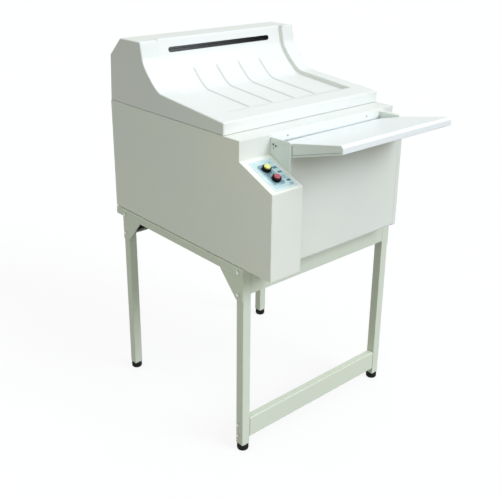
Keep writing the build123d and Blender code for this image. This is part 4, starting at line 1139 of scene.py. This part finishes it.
# --------------------------------------------------------------------- screws
m = Mesh()
k = 0
for x, z in ((168.0, 915.0), (483.0, 915.0), (577.0, 900.0), (577.0, 640.0)):
    m.place(SCREW, (x, YUP, z), (0, -1, 0), 0.4 + 1.3 * k)
    k += 1
mg = Mesh()
for y, z in ((112.0, 903.8), (103.0, 901.5)):
    mg.place(SCREW, (XCON, y, z), (-1, 0, 0), 0.7 + k)
    k += 1
for y in (250.0, 490.0, 700.0):
    m.place(SCREW, (W, y, 600.0), (1, 0, 0), 0.2 + k)
    k += 1
for x in (30.0, 215.0, 385.0, 570.0):
    for z in (600.0, 915.0):
        m.place(SCREW, (x, D, z), (0, 1, 0), 0.5 + k * 0.8)
        k += 1
piece("panel_screw_heads", m, "frame", M_SCREWP, bev=0, replaces=("panel_screws",), slot="dark_screw")
piece("guide_screw_heads", mg, "frame", M_SCREW, bev=0)

# -------------------------------------------------------------- rear services
def loft(m, loops, close=False):
    """Skin through loops of equal length; its ends are capped unless it closes on itself."""
    o, rows = len(m.v), []
    for lp in loops:
        rows.append(list(range(len(m.v), len(m.v) + len(lp))))
        m.v += [tuple(p) for p in lp]
    n = len(rows[0])
    for a, b in list(zip(rows, rows[1:])) + ([(rows[-1], rows[0])] if close else []):
        m.f += [[a[i], a[(i + 1) % n], b[(i + 1) % n], b[i]] for i in range(n)]
    if not close:
        m.f += [rows[0][::-1], rows[-1]]
    return m


def rect(x0, x1, z0, z1, y, r, seg=4):
    return [(x, y, z) for x, z in round_poly([(x0, z0), (x1, z0), (x1, z1), (x0, z1)], r, seg)]


M_BUSH = plastic("acetal_white", (0.80, 0.80, 0.76), rough=0.38, grain=0.12, wear=0.05)
M_TANK = plastic("tank_pvc", (0.50, 0.53, 0.52), rough=0.42, grain=0.2, wear=0.2)
M_RACK = plastic("rack_pvc", (0.40, 0.42, 0.43), rough=0.40, grain=0.2, wear=0.25)
M_ROLL = rubber("roller_rubber_mat", (0.30, 0.315, 0.33), 0.62)
M_PHEN = plastic("phenolic", (0.25, 0.135, 0.065), rough=0.33, grain=0.2, scale=300.0)
M_MOTOR = plastic("motor_enamel", (0.16, 0.175, 0.185), rough=0.46, grain=0.5, scale=420.0, wear=0.5)
M_PUMP = plastic("pump_shell", (0.17, 0.185, 0.21), rough=0.40, grain=0.3, wear=0.2)
M_ALU = metal("aluminium_mat", (0.74, 0.75, 0.76), rough=0.36, stretch=(30.0, 1.0, 1.0), scale=40.0, stain=0.1)
M_BOARD = plastic("solder_mask", (0.03, 0.17, 0.075), rough=0.30, grain=0.1)
M_SHAFT = metal("ground_shaft", (0.63, 0.64, 0.65), rough=0.22, stretch=(40.0, 1.0, 1.0), scale=30.0, stain=0.12)
M_BRASS = metal("tinned_pin", (0.70, 0.68, 0.60), rough=0.25, stretch=(1.0, 20.0, 1.0), scale=60.0, stain=0.1)

EX, EZ = 300.0, 820.0
m = Mesh()
m.lathe([(48.0, 0.0), (61.4, 0.0), (62.0, 0.5), (62.0, 1.6), (61.5, 2.0), (51.4, 2.0), (50.5, 2.4), (50.0, 3.4), (50.0, 21.0), (50.6, 21.8), (50.8, 23.0),
         (50.6, 24.2), (50.0, 25.0), (50.0, 29.3), (49.7, 29.9), (49.0, 30.0), (48.3, 29.8), (48.0, 29.2)], (EX, D, EZ), (0, 1, 0), 72, closed=True)
piece("collar_spigot", m, "frame", M_STEEL, bev=0, replaces=("exhaust_collar",), slot="bare_steel")
m = Mesh()
for k in range(6):
    a = math.radians(30 + 60 * k)
    m.lathe([(0.0, 1.6), (2.4, 1.6), (2.4, 2.2), (2.1, 2.9), (1.3, 3.4), (0.0, 3.6)], (EX + 56.0 * math.cos(a), D, EZ + 56.0 * math.sin(a)), (0, 1, 0), 16)
piece("collar_rivets", m, "frame", M_ALU, bev=0)

m = Mesh()
for x in (420.0, 470.0, 530.0):
    m.lathe([(5.5, -12.0), (9.6, -12.0), (10.0, -11.6), (10.0, -0.0), (13.4, 0.0), (14.0, 0.6), (14.0, 3.4), (13.4, 4.0), (8.4, 4.0), (8.0, 4.4), (8.0, 6.9), (8.9, 7.2),
             (9.0, 7.6), (8.9, 9.2), (8.0, 9.8), (8.0, 11.9), (8.9, 12.2), (9.0, 12.6), (8.9, 14.2), (8.0, 14.8), (8.0, 16.8), (8.9, 17.1), (9.0, 17.5),
             (9.0, 29.1), (8.3, 30.0), (6.0, 30.0), (5.5, 29.5)], (x, D, 625.0), (0, 1, 0), 40, closed=True)
piece("hose_spigots", m, "frame", M_BLACK, bev=0, replaces=("hose_tails",), slot="black_plastic")
m = Mesh()
for x in (420.0, 470.0, 530.0):
    # hexagonal backing nuts between flange and panel
    hexa = [(x + 13.2 * math.cos(math.radians(60 * k)), 625.0 + 13.2 * math.sin(math.radians(60 * k))) for k in range(6)]
    m.plate_with_holes(round_poly(hexa, 0.8, 2), [circle(x, 625.0, 10.1, 32)], "y", D - 7.0, D - 2.05)
piece("hose_nuts", m, "frame", M_BUSH, bev=0.4)

# mains inlet and main switch in one moulded plate
IX, IZ, RXC = 70.0, 625.0, 104.0
m = Mesh()
sock = round_poly([(IX - 12, IZ - 4.5), (IX - 8.6, IZ - 8), (IX + 8.6, IZ - 8), (IX + 12, IZ - 4.5), (IX + 12, IZ + 8), (IX - 12, IZ + 8)], 1.0, 3)
window = round_poly([(RXC - 8, IZ - 12.5), (RXC + 8, IZ - 12.5), (RXC + 8, IZ + 12.5), (RXC - 8, IZ + 12.5)], 0.8, 3)
m.plate_with_holes(round_poly([(48, 607), (120, 607), (120, 643), (48, 643)], 3.5, 6), [sock, window], "y", D + 0.05, D + 2.4)
piece("inlet_plate", m, "frame", M_BLACK, bev=0.5, seg=3, replaces=("power_inlet",), slot="black_plastic")
m = Mesh()
for hole, cx, hx, hz, deep in ((sock, IX, 14.0, 10.5, 16.0), (window, RXC, 10.5, 14.5, 14.0)):
    n = len(hole)
    outer = round_poly([(cx - hx, IZ - hz), (cx + hx, IZ - hz), (cx + hx, IZ + hz), (cx - hx, IZ + hz)], 1.2, 3)
    k = len(m.v)
    m.plate_with_holes(outer, [hole], "y", D - deep, D - 0.1)
    m.prism(outer, "y", D - deep - 4.0, D - deep)
piece("inlet_cups", m, "frame", M_BLACKG, bev=0.2)
m = Mesh()
for dx, dz in ((-5.0, -3.0), (5.0, -3.0), (0.0, 3.0)):
    q = round_poly([(IX + dx - 1, IZ + dz - 2), (IX + dx + 1, IZ + dz - 2), (IX + dx + 1, IZ + dz + 2), (IX + dx - 1, IZ + dz + 2)], 0.3, 2)
    m.prism(q, "y", D - 17.0, D - 2.0)
piece("inlet_blades", m, "frame", M_BRASS, bev=0.35, seg=3)
CSK = pan_screw(3.0, 0.9)
m = Mesh()
for i, x in enumerate((52.3, 116.0)):
    m.place(([tuple(c * 0.72 for c in p) for p in CSK[0]], CSK[1]), (x, D + 2.3, 625.0), (0, 1, 0), 0.5 + i)
piece("inlet_screws", m, "frame", M_SCREW, bev=0)

m = Mesh()
ry = D - 6.0
m.prism([(ry - 4, IZ - 6), (ry - 4, IZ + 6), (D + 1.2, IZ + 9.5), (D + 1.35, IZ + 0.3), (D + 1.5, IZ - 0.3), (D + 4.6, IZ - 9.5)], "x", RXC - 7.6, RXC + 7.6)
piece("rocker_paddle", m, "power_rocker", M_BLACKG, bev=0.55, seg=3, angle=12, replaces=("power_rocker",), slot="black_plastic")
m = Mesh()


def on_rocker(z0, y0, z1, y1):
    ll = math.hypot(y1 - y0, z1 - z0)
    uz, uy = (z1 - z0) / ll, (y1 - y0) / ll

    def T(p):
        x, s, h = p
        return (RXC + x, y0 + uy * s + abs(uz) * h, z0 + uz * s + (uy if uz < 0 else -uy) * h)
    return T


m.prism([(-0.45, 2.6), (0.45, 2.6), (0.45, 6.8), (-0.45, 6.8)], "z", 0.0, 0.12, T=on_rocker(IZ + 9.5, D + 1.2, IZ + 0.3, D + 1.35))
m.plate_with_holes(circle(0, 5.0, 2.5, 28), [circle(0, 5.0, 1.75, 28)], "z", 0.0, 0.12, T=on_rocker(IZ - 0.3, D + 1.5, IZ - 9.5, D + 4.6))
piece("rocker_marks", m, "power_rocker", M_INKW, bev=0)

# -------------------------------------------------------------------- hinges
HYC, HZC = 732.0, 930.0
SLR = 9.0 / 139.0
mb, ml, mp, ms, mt = Mesh(), Mesh(), Mesh(), Mesh(), Mesh()
kn = [(2.55, 0.0), (4.2, 0.0), (4.5, 0.3)]
for xh in (100.0, 450.0):
    mb.plate_with_holes(round_poly([(xh, 893), (xh + 50, 893), (xh + 50, 924), (xh, 924)], [5, 5, 0.5, 0.5], 5), [], "y", D + 0.02, D + 2.0)
    for xa, xb in ((xh, xh + 15), (xh + 35, xh + 50)):
        mb.lathe([(2.55, 0), (4.2, 0), (4.5, 0.3), (4.5, xb - xa - 0.3), (4.2, xb - xa), (2.55, xb - xa)], (xa, HYC, HZC), (1, 0, 0), 36, closed=True)
        mb.prism([(D + 0.02, 919), (D + 2.0, 919), (D + 2.6, 922.5), (HYC + 3.9, HZC - 2.1), (HYC + 1.5, HZC - 3.9), (D + 0.4, 923.5)], "x", xa, xb)
    g = [(D - SLR * 5 + 0.05, 935.0), (D - SLR * 5 + 2.05, 935.0), (D - SLR * 34 + 2.05, 964.0), (D - SLR * 34 + 0.05, 964.0)]
    ml.prism(g, "x", xh, xh + 50)
    ml.lathe([(2.6, 0), (4.2, 0), (4.5, 0.3), (4.5, 18.9), (4.2, 19.2), (2.6, 19.2)], (xh + 15.4, HYC, HZC), (1, 0, 0), 36, closed=True)
    ml.prism([(D - SLR * 5 + 0.1, 937.0), (D - SLR * 5 + 2.0, 939.0), (HYC + 3.2, HZC + 3.1), (HYC - 2.2, HZC + 3.8)], "x", xh + 15.4, xh + 34.6)
    mp.lathe([(0, -1.9), (1.7, -1.8), (2.3, -1.4), (2.5, -0.9), (2.5, 50.9), (2.3, 51.4), (1.7, 51.8), (0, 51.9)], (xh, HYC, HZC), (1, 0, 0), 24)
    for i, (dx, z) in enumerate(((9.0, 900.0), (41.0, 900.0), (25.0, 912.0))):
        ms.place(CSK, (xh + dx, D + 1.95, z), (0, 1, 0), 0.4 + i + xh)
    for i, (dx, dz) in enumerate(((9.0, 26.0), (41.0, 26.0), (25.0, 18.0))):
        mt.place(CSK, (xh + dx, D - SLR * dz + 1.98, HZC + dz), (0, 1.0, SLR), 0.9 + i + xh)
piece("hinge_leaf_body", mb, "frame", M_ZINC, bev=0.3, replaces=("hinge_leaves_body",), slot="bare_steel")
piece("hinge_leaf_lid", ml, "lid", M_ZINC, bev=0.3, replaces=("hinge_leaves_lid",), slot="bare_steel")
piece("hinge_screws_body", ms, "frame", M_SCREW, bev=0)
piece("hinge_screws_lid", mt, "lid", M_SCREW, bev=0)
for xa, xb in ((XCON + 0.4, 117.0), (533.0, 542.8)):
    mp.lathe([(0, 0), (2.6, 0.0), (3.0, 0.4), (3.0, xb - xa - 0.6), (2.4, xb - xa), (0, xb - xa)], (xa, PIV_Y, PIV_Z), (1, 0, 0), 24)
piece("hinge_and_tray_pins", mp, "frame", M_SHAFT, bev=0, replaces=("pivot_pins",), slot="stainless")

# -------------------------------------------------------------------- inside
TANKS = (("developer", 172.0), ("fixer", 298.0), ("wash", 424.0))
TOPZ, DRZ = 888.0, 835.0
for nm, y0 in TANKS:
    m = Mesh()

    def tl(inset, z, r):
        return [(x, y, z) for x, y in round_poly([(78 + inset, y0 + inset), (522 - inset, y0 + inset), (522 - inset, y0 + 120 - inset), (78 + inset, y0 + 120 - inset)], max(r, 0.8), 5)]
    loft(m, [tl(2.2, 700.0, 5), tl(0.7, 700.6, 6.4), tl(0.0, 702.2, 7), tl(0.0, 864.0, 7), tl(0.9, 865.0, 6.4), tl(0.9, 866.0, 6.4), tl(0.0, 867.0, 7), tl(0.0, 873.8, 7), tl(0.4, 874.7, 6.6), tl(1.2, 875.0, 6),
             tl(2.9, 875.0, 4.6), tl(3.7, 874.6, 4), tl(4.0, 873.8, 3.6), tl(4.0, 707.5, 3.6), tl(4.9, 705.2, 3), tl(7.0, 704.0, 2)])
    piece("tank_" + nm, m, "frame", M_TANK, bev=0, replaces=(nm + "_tank",), slot="tank_plastic")
# rack side plates with windows, feed plates
m = Mesh()
for nm, y0 in TANKS:
    yc = y0 + 60.0
    for xa, xb in ((96.0, 100.0), (500.0, 504.0)):
        out = round_poly([(yc - 46, 704), (yc + 46, 704), (yc + 46, 850), (yc + 20, 905), (yc - 20, 905), (yc - 46, 850)], [4, 4, 8, 8, 8, 8], 5)
        holes = [circle(yc, TOPZ, 6.02, 28), circle(yc, DRZ, 6.02, 28)]
        holes += [circle(yc + dy, z, 10.0, 24) for dy in (-25.0, 25.0) for z in (725.0, 760.0)]
        holes += [round_poly([(yc - 28, 781), (yc + 28, 781), (yc + 20, 789), (yc - 20, 789)], 2.5, 3)]
        m.plate_with_holes(out, holes, "x", xa, xb)
for xa, xb in ((96.0, 100.0), (500.0, 504.0)):
    m.plate_with_holes(round_poly([(128, 868), (172, 868), (172, 919), (128, 919)], 4.0, 5), [circle(150.0, 886.7, 6.02, 28), circle(150.0, 907.3, 6.02, 28)], "x", xa, xb)
piece("rack_plates", m, "frame", M_RACK, bev=0.5, seg=2, replaces=("roller_side_plates",), slot="tank_plastic")
# flanged bushes
m = Mesh()
AX = [(150.0, 886.7), (150.0, 907.3), (622.0, 1081.0), (622.0, 1100.8)]
for nm, y0 in TANKS:
    AX += [(y0 + 60.0, TOPZ), (y0 + 60.0, DRZ)]
for y, z in AX + [(620.0, 650.0)]:
    for x, s in ((96.0, -1), (504.0, 1)):
        if (y, z) == (620.0, 650.0) and s > 0:
            continue
        m.lathe([(4.05, -4.0), (6.0, -4.0), (6.0, 0.0), (7.6, 0.02), (7.9, 0.3), (7.9, 1.1), (7.6, 1.4), (4.4, 1.4), (4.05, 1.1)], (x, y, z), (s, 0, 0), 28, closed=True)
for y in (194.0, 280.0, 406.0):
    m.plate_with_holes(round_poly([(52, 850), (77.95, 850), (77.95, 871), (52, 871)], [0.8, 0.8, 0.8, 5], 4), [circle(64.0, 862.0, 6.08, 28)], "y", y, y + 6.0)
piece("bushes", m, "frame", M_BUSH, bev=0, replaces=("bearings",), slot="bush_white")


def gear_pts(y, z, r, depth, n, seg_a=(-0.34, -0.22, -0.08, 0.08, 0.22, 0.34)):
    pts = []
    for i in range(n):
        for f, k in ((-0.34, 1.0), (-0.20, 0.25), (-0.09, 0.0), (0.09, 0.0), (0.20, 0.25), (0.34, 1.0)):
            a = 2 * math.pi * (i + f) / n
            q = r - depth * k
            pts.append((y + q * math.cos(a), z + q * math.sin(a)))
    return pts


def roller_set(name, y, z, r, gear, wheel=None, drum=False):
    x0 = 60.0 if wheel else 84.0
    m = Mesh()
    e = 1.6
    if drum:
        prof = [(0, 0.6), (8.0, 0.6), (8.6, 2.0), (30.0, 2.0), (34.0, 0.6), (35.0, 0.0), (r - e, 0.0), (r - 0.4, 0.5), (r, e), (r, 394.0 - e), (r - 0.4, 393.5), (r - e, 394.0), (35.0, 394.0), (34.0, 393.4), (30.0, 392.0), (8.6, 392.0), (8.0, 393.4), (0, 393.4)]
    else:
        prof = [(0, 0.0), (r - e, 0.0), (r - 0.5, 0.4), (r, e), (r, 394.0 - e), (r - 0.5, 393.6), (r - e, 394.0), (0, 394.0)]
    m.lathe(prof, (103.0, y, z), (1, 0, 0), 64 if drum else 40)
    piece(name + "_cover", m, name, M_PHEN if drum else M_ROLL, bev=0, replaces=(name,), slot="roller_phenolic" if drum else "roller_rubber")
    m = Mesh()
    m.lathe([(0, 0), (3.4, 0), (4.0, 0.6), (4.0, 507.0 - x0 - 0.6), (3.4, 507.0 - x0), (0, 507.0 - x0)], (x0, y, z), (1, 0, 0), 24)
    piece(name + "_spindle", m, name, M_SHAFT, bev=0)
    m = Mesh()
    m.plate_with_holes(gear_pts(y, z, gear, 0.9, max(12, int(gear * 1.8))), [circle(y, z, 4.0, 24)], "x", 86.0, 92.0)
    if wheel:
        m.plate_with_holes(gear_pts(y, z, wheel, 1.2, 18), [circle(y, z, 4.0, 24)], "x", 60.0, 68.0)
        m.lathe([(4.0, 0), (7.0, 0), (7.2, 0.3), (7.2, 5.7), (7.0, 6.0), (4.0, 6.0)], (68.0, y, z), (1, 0, 0), 24, closed=True)
    piece(name + "_gears", m, name, M_BUSH, bev=0)


WH = TOPZ - 862.0 - 9.5
roller_set("feed_roller_lower", 150.0, 886.7, 10.0, 10.0, wheel=886.7 - 862.0 - 9.5)
roller_set("feed_roller_upper", 150.0, 907.3, 10.0, 10.0)
for nm, y0 in TANKS:
    roller_set(nm + "_top_roller", y0 + 60.0, TOPZ, 12.5, 12.2, wheel=WH)
    roller_set(nm + "_drum", y0 + 60.0, DRZ, 40.0, 40.2, drum=True)
roller_set("exit_roller_lower", 622.0, 1081.0, 9.6, 9.6)
roller_set("exit_roller_upper", 622.0, 1100.8, 9.6, 9.6)

# worm shaft with four cut worms and the coupling
m = Mesh()
m.lathe([(0, 0), (5.4, 0), (6.0, 0.6), (6.0, 448.0), (0, 448.0)], (64.0, 128.0, 862.0), (0, 1, 0), 28)
m.lathe([(5.9, 0), (10.4, 0), (11.0, 0.6), (11.0, 5.0), (10.6, 5.3), (10.6, 6.4), (11.0, 6.7), (11.0, 11.4), (10.4, 12.0), (5.9, 12.0)], (64.0, 548.0, 862.0), (0, 1, 0), 32, closed=True)
piece("worm_shaft", m, "drive_shaft", M_SHAFT, bev=0, replaces=("drive_shaft",), slot="stainless")
m = Mesh()
for yc in (150.0, 232.0, 358.0, 484.0):
    n, steps, pitch = 32, 78, 4.4
    loops = []
    for j in range(steps + 1):
        yy = -13.0 + 26.0 * j / steps
        edge = min(1.0, (13.0 - abs(yy)) / 1.2)
        lp = []
        for i in range(n):
            t = 2 * math.pi * i / n
            f = (yy / pitch + i / n) % 1.0
            d = max(0.0, min(1.0, (abs(f - 0.5) - 0.12) / 0.16))
            rr = 6.2 + (9.0 - 6.2 - 1.7 * (1 - d)) * (0.35 + 0.65 * edge)
            lp.append((64.0 + rr * math.cos(t), yc + yy, 862.0 + rr * math.sin(t)))
        loops.append(lp)
    loft(m, loops)
piece("worms", m, "drive_shaft", M_BRASS, bev=0)

# gear motor: gearbox with ribs, finned can, bracket
m = Mesh()
m.box(38.0, 90.0, 562.0, 590.0, 832.0, 892.0)
for z in (842.0, 852.0, 872.0, 882.0):
    m.box(36.8, 38.4, 565.0, 587.0, z - 1.2, z + 1.2)
m.box(44.0, 84.0, 600.0, 640.0, 587.0, 589.5)
m.box(44.0, 47.0, 600.0, 640.0, 589.0, 836.5)
m.box(81.0, 84.0, 600.0, 640.0, 589.0, 836.5)
piece("gearbox", m, "frame", M_MOTOR, bev=1.2, seg=3, replaces=("drive_motor",), slot="motor_grey")
m = Mesh()
prof = [(0, 0), (26.0, 0), (26.5, 1.0)]
for k in range(9):
    y = 5.0 + 5.2 * k
    prof += [(26.5, y), (28.0, y + 0.4), (28.0, y + 1.8), (26.5, y + 2.2)]
prof += [(26.5, 54.0), (27.5, 54.5), (27.5, 56.5), (24.0, 59.0), (12.0, 60.0), (0, 60.0)]
m.lathe(prof, (64.0, 590.0, 862.0), (0, 1, 0), 48)
piece("motor_can", m, "frame", M_MOTOR, bev=0)
m = Mesh()
for i, (x, z) in enumerate(((43, 837), (85, 837), (85, 887), (43, 887))):
    m.place(SCREW, (x, 562.0, z), (0, -1, 0), 0.3 + i)
piece("gearbox_screws", m, "frame", M_ZINC, bev=0)

# recirculation pumps: volute, motor can with a cooling cowl, rising pipe
m = Mesh()
mc = Mesh()
for y in (240.0, 380.0):
    m.lathe([(0, 0), (31.0, 0), (32.0, 1.0), (32.0, 10.0), (31.2, 10.8), (31.2, 12.0), (32.0, 12.8), (32.0, 35.0), (30.5, 37.6), (26.0, 38.0), (0, 38.0)], (560.0, y, 587.0), (0, 0, 1), 48)
    m.lathe([(0, 0), (8.0, 0), (8.0, 60.0), (0, 60.0)], (500.0, y, 604.0), (1, 0, 0), 28)
    m.lathe([(0, 0), (8.0, 0), (8.0, 96.0), (0, 96.0)], (500.0, y, 604.0), (0, 0, 1), 28)
    m.lathe([(0, 0), (10.5, 0.4), (11.0, 1.2), (11.0, 9.0), (10.5, 9.8), (0, 10.0)], (500.0, y, 686.0), (0, 0, 1), 28)
    prof = [(0, 0), (25.5, 0)]
    for k in range(10):
        z = 6.0 + 5.0 * k
        prof += [(24.8, z), (26.0, z + 0.4), (26.0, z + 1.6), (24.8, z + 2.0)]
    prof += [(25.0, 58.0), (26.0, 59.0), (26.0, 70.0), (23.5, 74.0), (8.0, 75.0), (0, 75.0)]
    mc.lathe(prof, (560.0, y, 625.0), (0, 0, 1), 48)
    mc.box(530.0, 536.0, y - 20, y + 20, 640.0, 690.0)
piece("pump_housings", m, "frame", M_PUMP, bev=0, replaces=("recirculation_pumps",), slot="pump_grey")
piece("pump_motors", mc, "frame", M_MOTOR, bev=0)

# cad nodes that are shown as they are: procedural finish and softened edges
SHOWN = {"base_pan": (M_STEEL, 0.25), "contact_blocks": (M_BLACK, 0.4), "control_board": (M_BOARD, 0.2), "dryer_duct": (M_STEEL, 0.25),
         "dryer_fan": (M_ALU, 0.2), "dryer_heater": (M_STAIN, 0.15), "fan_motor": (M_MOTOR, 0.8)}
for nm, (mat, w) in SHOWN.items():
    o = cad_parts[nm]
    o.data.materials.clear()
    o.data.materials.append(mat)
    b = o.modifiers.new("edge", "BEVEL")
    b.width, b.segments, b.limit_method, b.angle_limit = w / 1000.0, 2, "ANGLE", math.radians(40)

# ---------------------------------------------------------------- camera etc.
cam_d = bpy.data.cameras.new("camera")
cam = bpy.data.objects.new("camera", cam_d)
bpy.context.scene.collection.objects.link(cam)
cam_d.sensor_width = 36.0
cam_d.lens = 53.42
cam_d.shift_x, cam_d.shift_y = 0.04, -0.11
cam_d.clip_start, cam_d.clip_end = 0.05, 60.0
az, el, roll = math.radians(-39.88), math.radians(20.16), math.radians(-0.12)
back = Vector((math.sin(az) * math.cos(el), -math.cos(az) * math.cos(el), math.sin(el)))
cam.rotation_mode = "QUATERNION"
cam.location = (-1.45469, -1.54228, 1.43841)
q = (-back).to_track_quat("-Z", "Y")
cam.rotation_quaternion = q
bpy.context.scene.camera = cam

# floor: pale, evenly lit from within like a light table, so that shadows on it stay soft
me = bpy.data.meshes.new("floor")
s = 30.0
me.from_pydata([(-s, -s, 0), (s, -s, 0), (s, s, 0), (-s, s, 0)], [], [[0, 1, 2, 3]])
floor = bpy.data.objects.new("floor", me)
bpy.context.scene.collection.objects.link(floor)
fm = Mat("floor_pale")
fm.set(Base_Color=fm.mix(fm.remap(fm.noise(1.2, 3.0), 0.3, 0.7, 0.0, 1.0), (0.125, 0.125, 0.125), (0.132, 0.132, 0.132)), Roughness=0.9,
       Specular_IOR_Level=0.0, Emission_Color=(1.0, 1.0, 1.0, 1.0), Emission_Strength=0.847)
me.materials.append(fm.m)
floor.visible_diffuse = False

# soft studio light: an even pale surround, a wide light from above and one from the front right
world = bpy.data.worlds.new("studio")
bpy.context.scene.world = world
world.use_nodes = True
wt = world.node_tree
wt.nodes.clear()
wo = wt.nodes.new("ShaderNodeOutputWorld")
tc = wt.nodes.new("ShaderNodeTexCoord")
sp = wt.nodes.new("ShaderNodeSeparateXYZ")
mr = wt.nodes.new("ShaderNodeMapRange")
mr.inputs["From Min"].default_value = -1.0
mr.inputs["From Max"].default_value = 1.0
rp = wt.nodes.new("ShaderNodeValToRGB")
SKY = ((0.0, (0.015, 0.015, 0.01)), (0.42, (0.06, 0.065, 0.045)), (0.50, (0.33, 0.355, 0.285)), (0.60, (0.62, 0.655, 0.57)), (1.0, (0.76, 0.79, 0.79)))
for i, (pos, c) in enumerate(SKY):
    e = rp.color_ramp.elements[i] if i < 2 else rp.color_ramp.elements.new(pos)
    e.position = pos
    e.color = (*c, 1.0)
wt.links.new(tc.outputs["Generated"], sp.inputs[0])
wt.links.new(sp.outputs["Z"], mr.inputs["Value"])
wt.links.new(mr.outputs["Result"], rp.inputs["Fac"])
bg = wt.nodes.new("ShaderNodeBackground")
bg.inputs["Strength"].default_value = 1.0
wt.links.new(rp.outputs["Color"], bg.inputs["Color"])
bg_seen = wt.nodes.new("ShaderNodeBackground")
bg_seen.inputs["Color"].default_value = (1.0, 1.0, 1.0, 1.0)
bg_seen.inputs["Strength"].default_value = 0.98
lp = wt.nodes.new("ShaderNodeLightPath")
mx = wt.nodes.new("ShaderNodeMixShader")
wt.links.new(lp.outputs["Is Camera Ray"], mx.inputs[0])
wt.links.new(bg.outputs[0], mx.inputs[1])
wt.links.new(bg_seen.outputs[0], mx.inputs[2])
wt.links.new(mx.outputs[0], wo.inputs[0])


def sun(name, towards, ratio, angle, color=(1, 1, 1)):
    """Wide directional light; ratio is the brightness of a white surface that faces it."""
    d = bpy.data.lights.new(name, "SUN")
    d.energy = ratio * math.pi
    d.angle = math.radians(angle)
    d.color = color
    o = bpy.data.objects.new(name, d)
    bpy.context.scene.collection.objects.link(o)
    o.rotation_mode = "QUATERNION"
    o.rotation_quaternion = Vector(towards).to_track_quat("Z", "Y")
    return o


sun("top_light", (0.16, -0.20, 0.96), 0.175, 50.0, (0.90, 0.93, 0.985))
sun("front_light", (0.30, -0.78, 0.54), 0.66, 30.0, (0.85, 0.885, 1.0))


def area(name, pos, aim, size, watts, color=(1, 1, 1)):
    """Soft box at working position pos, turned towards aim."""
    d = bpy.data.lights.new(name, "AREA")
    d.shape, d.size, d.energy, d.color = "DISK", size, watts, color
    o = bpy.data.objects.new(name, d)
    bpy.context.scene.collection.objects.link(o)
    a, b = Vector(K(pos)), Vector(K(aim))
    o.location = a
    o.rotation_mode = "QUATERNION"
    o.rotation_quaternion = (a - b).to_track_quat("Z", "Y")
    return o


area("side_light", (-800, -560, 960), (0, 120, 780), 0.6, 1.83, (1.0, 1.0, 0.905))

bpy.context.scene.view_settings.view_transform = "Standard"
bpy.context.scene.view_settings.look = "None"
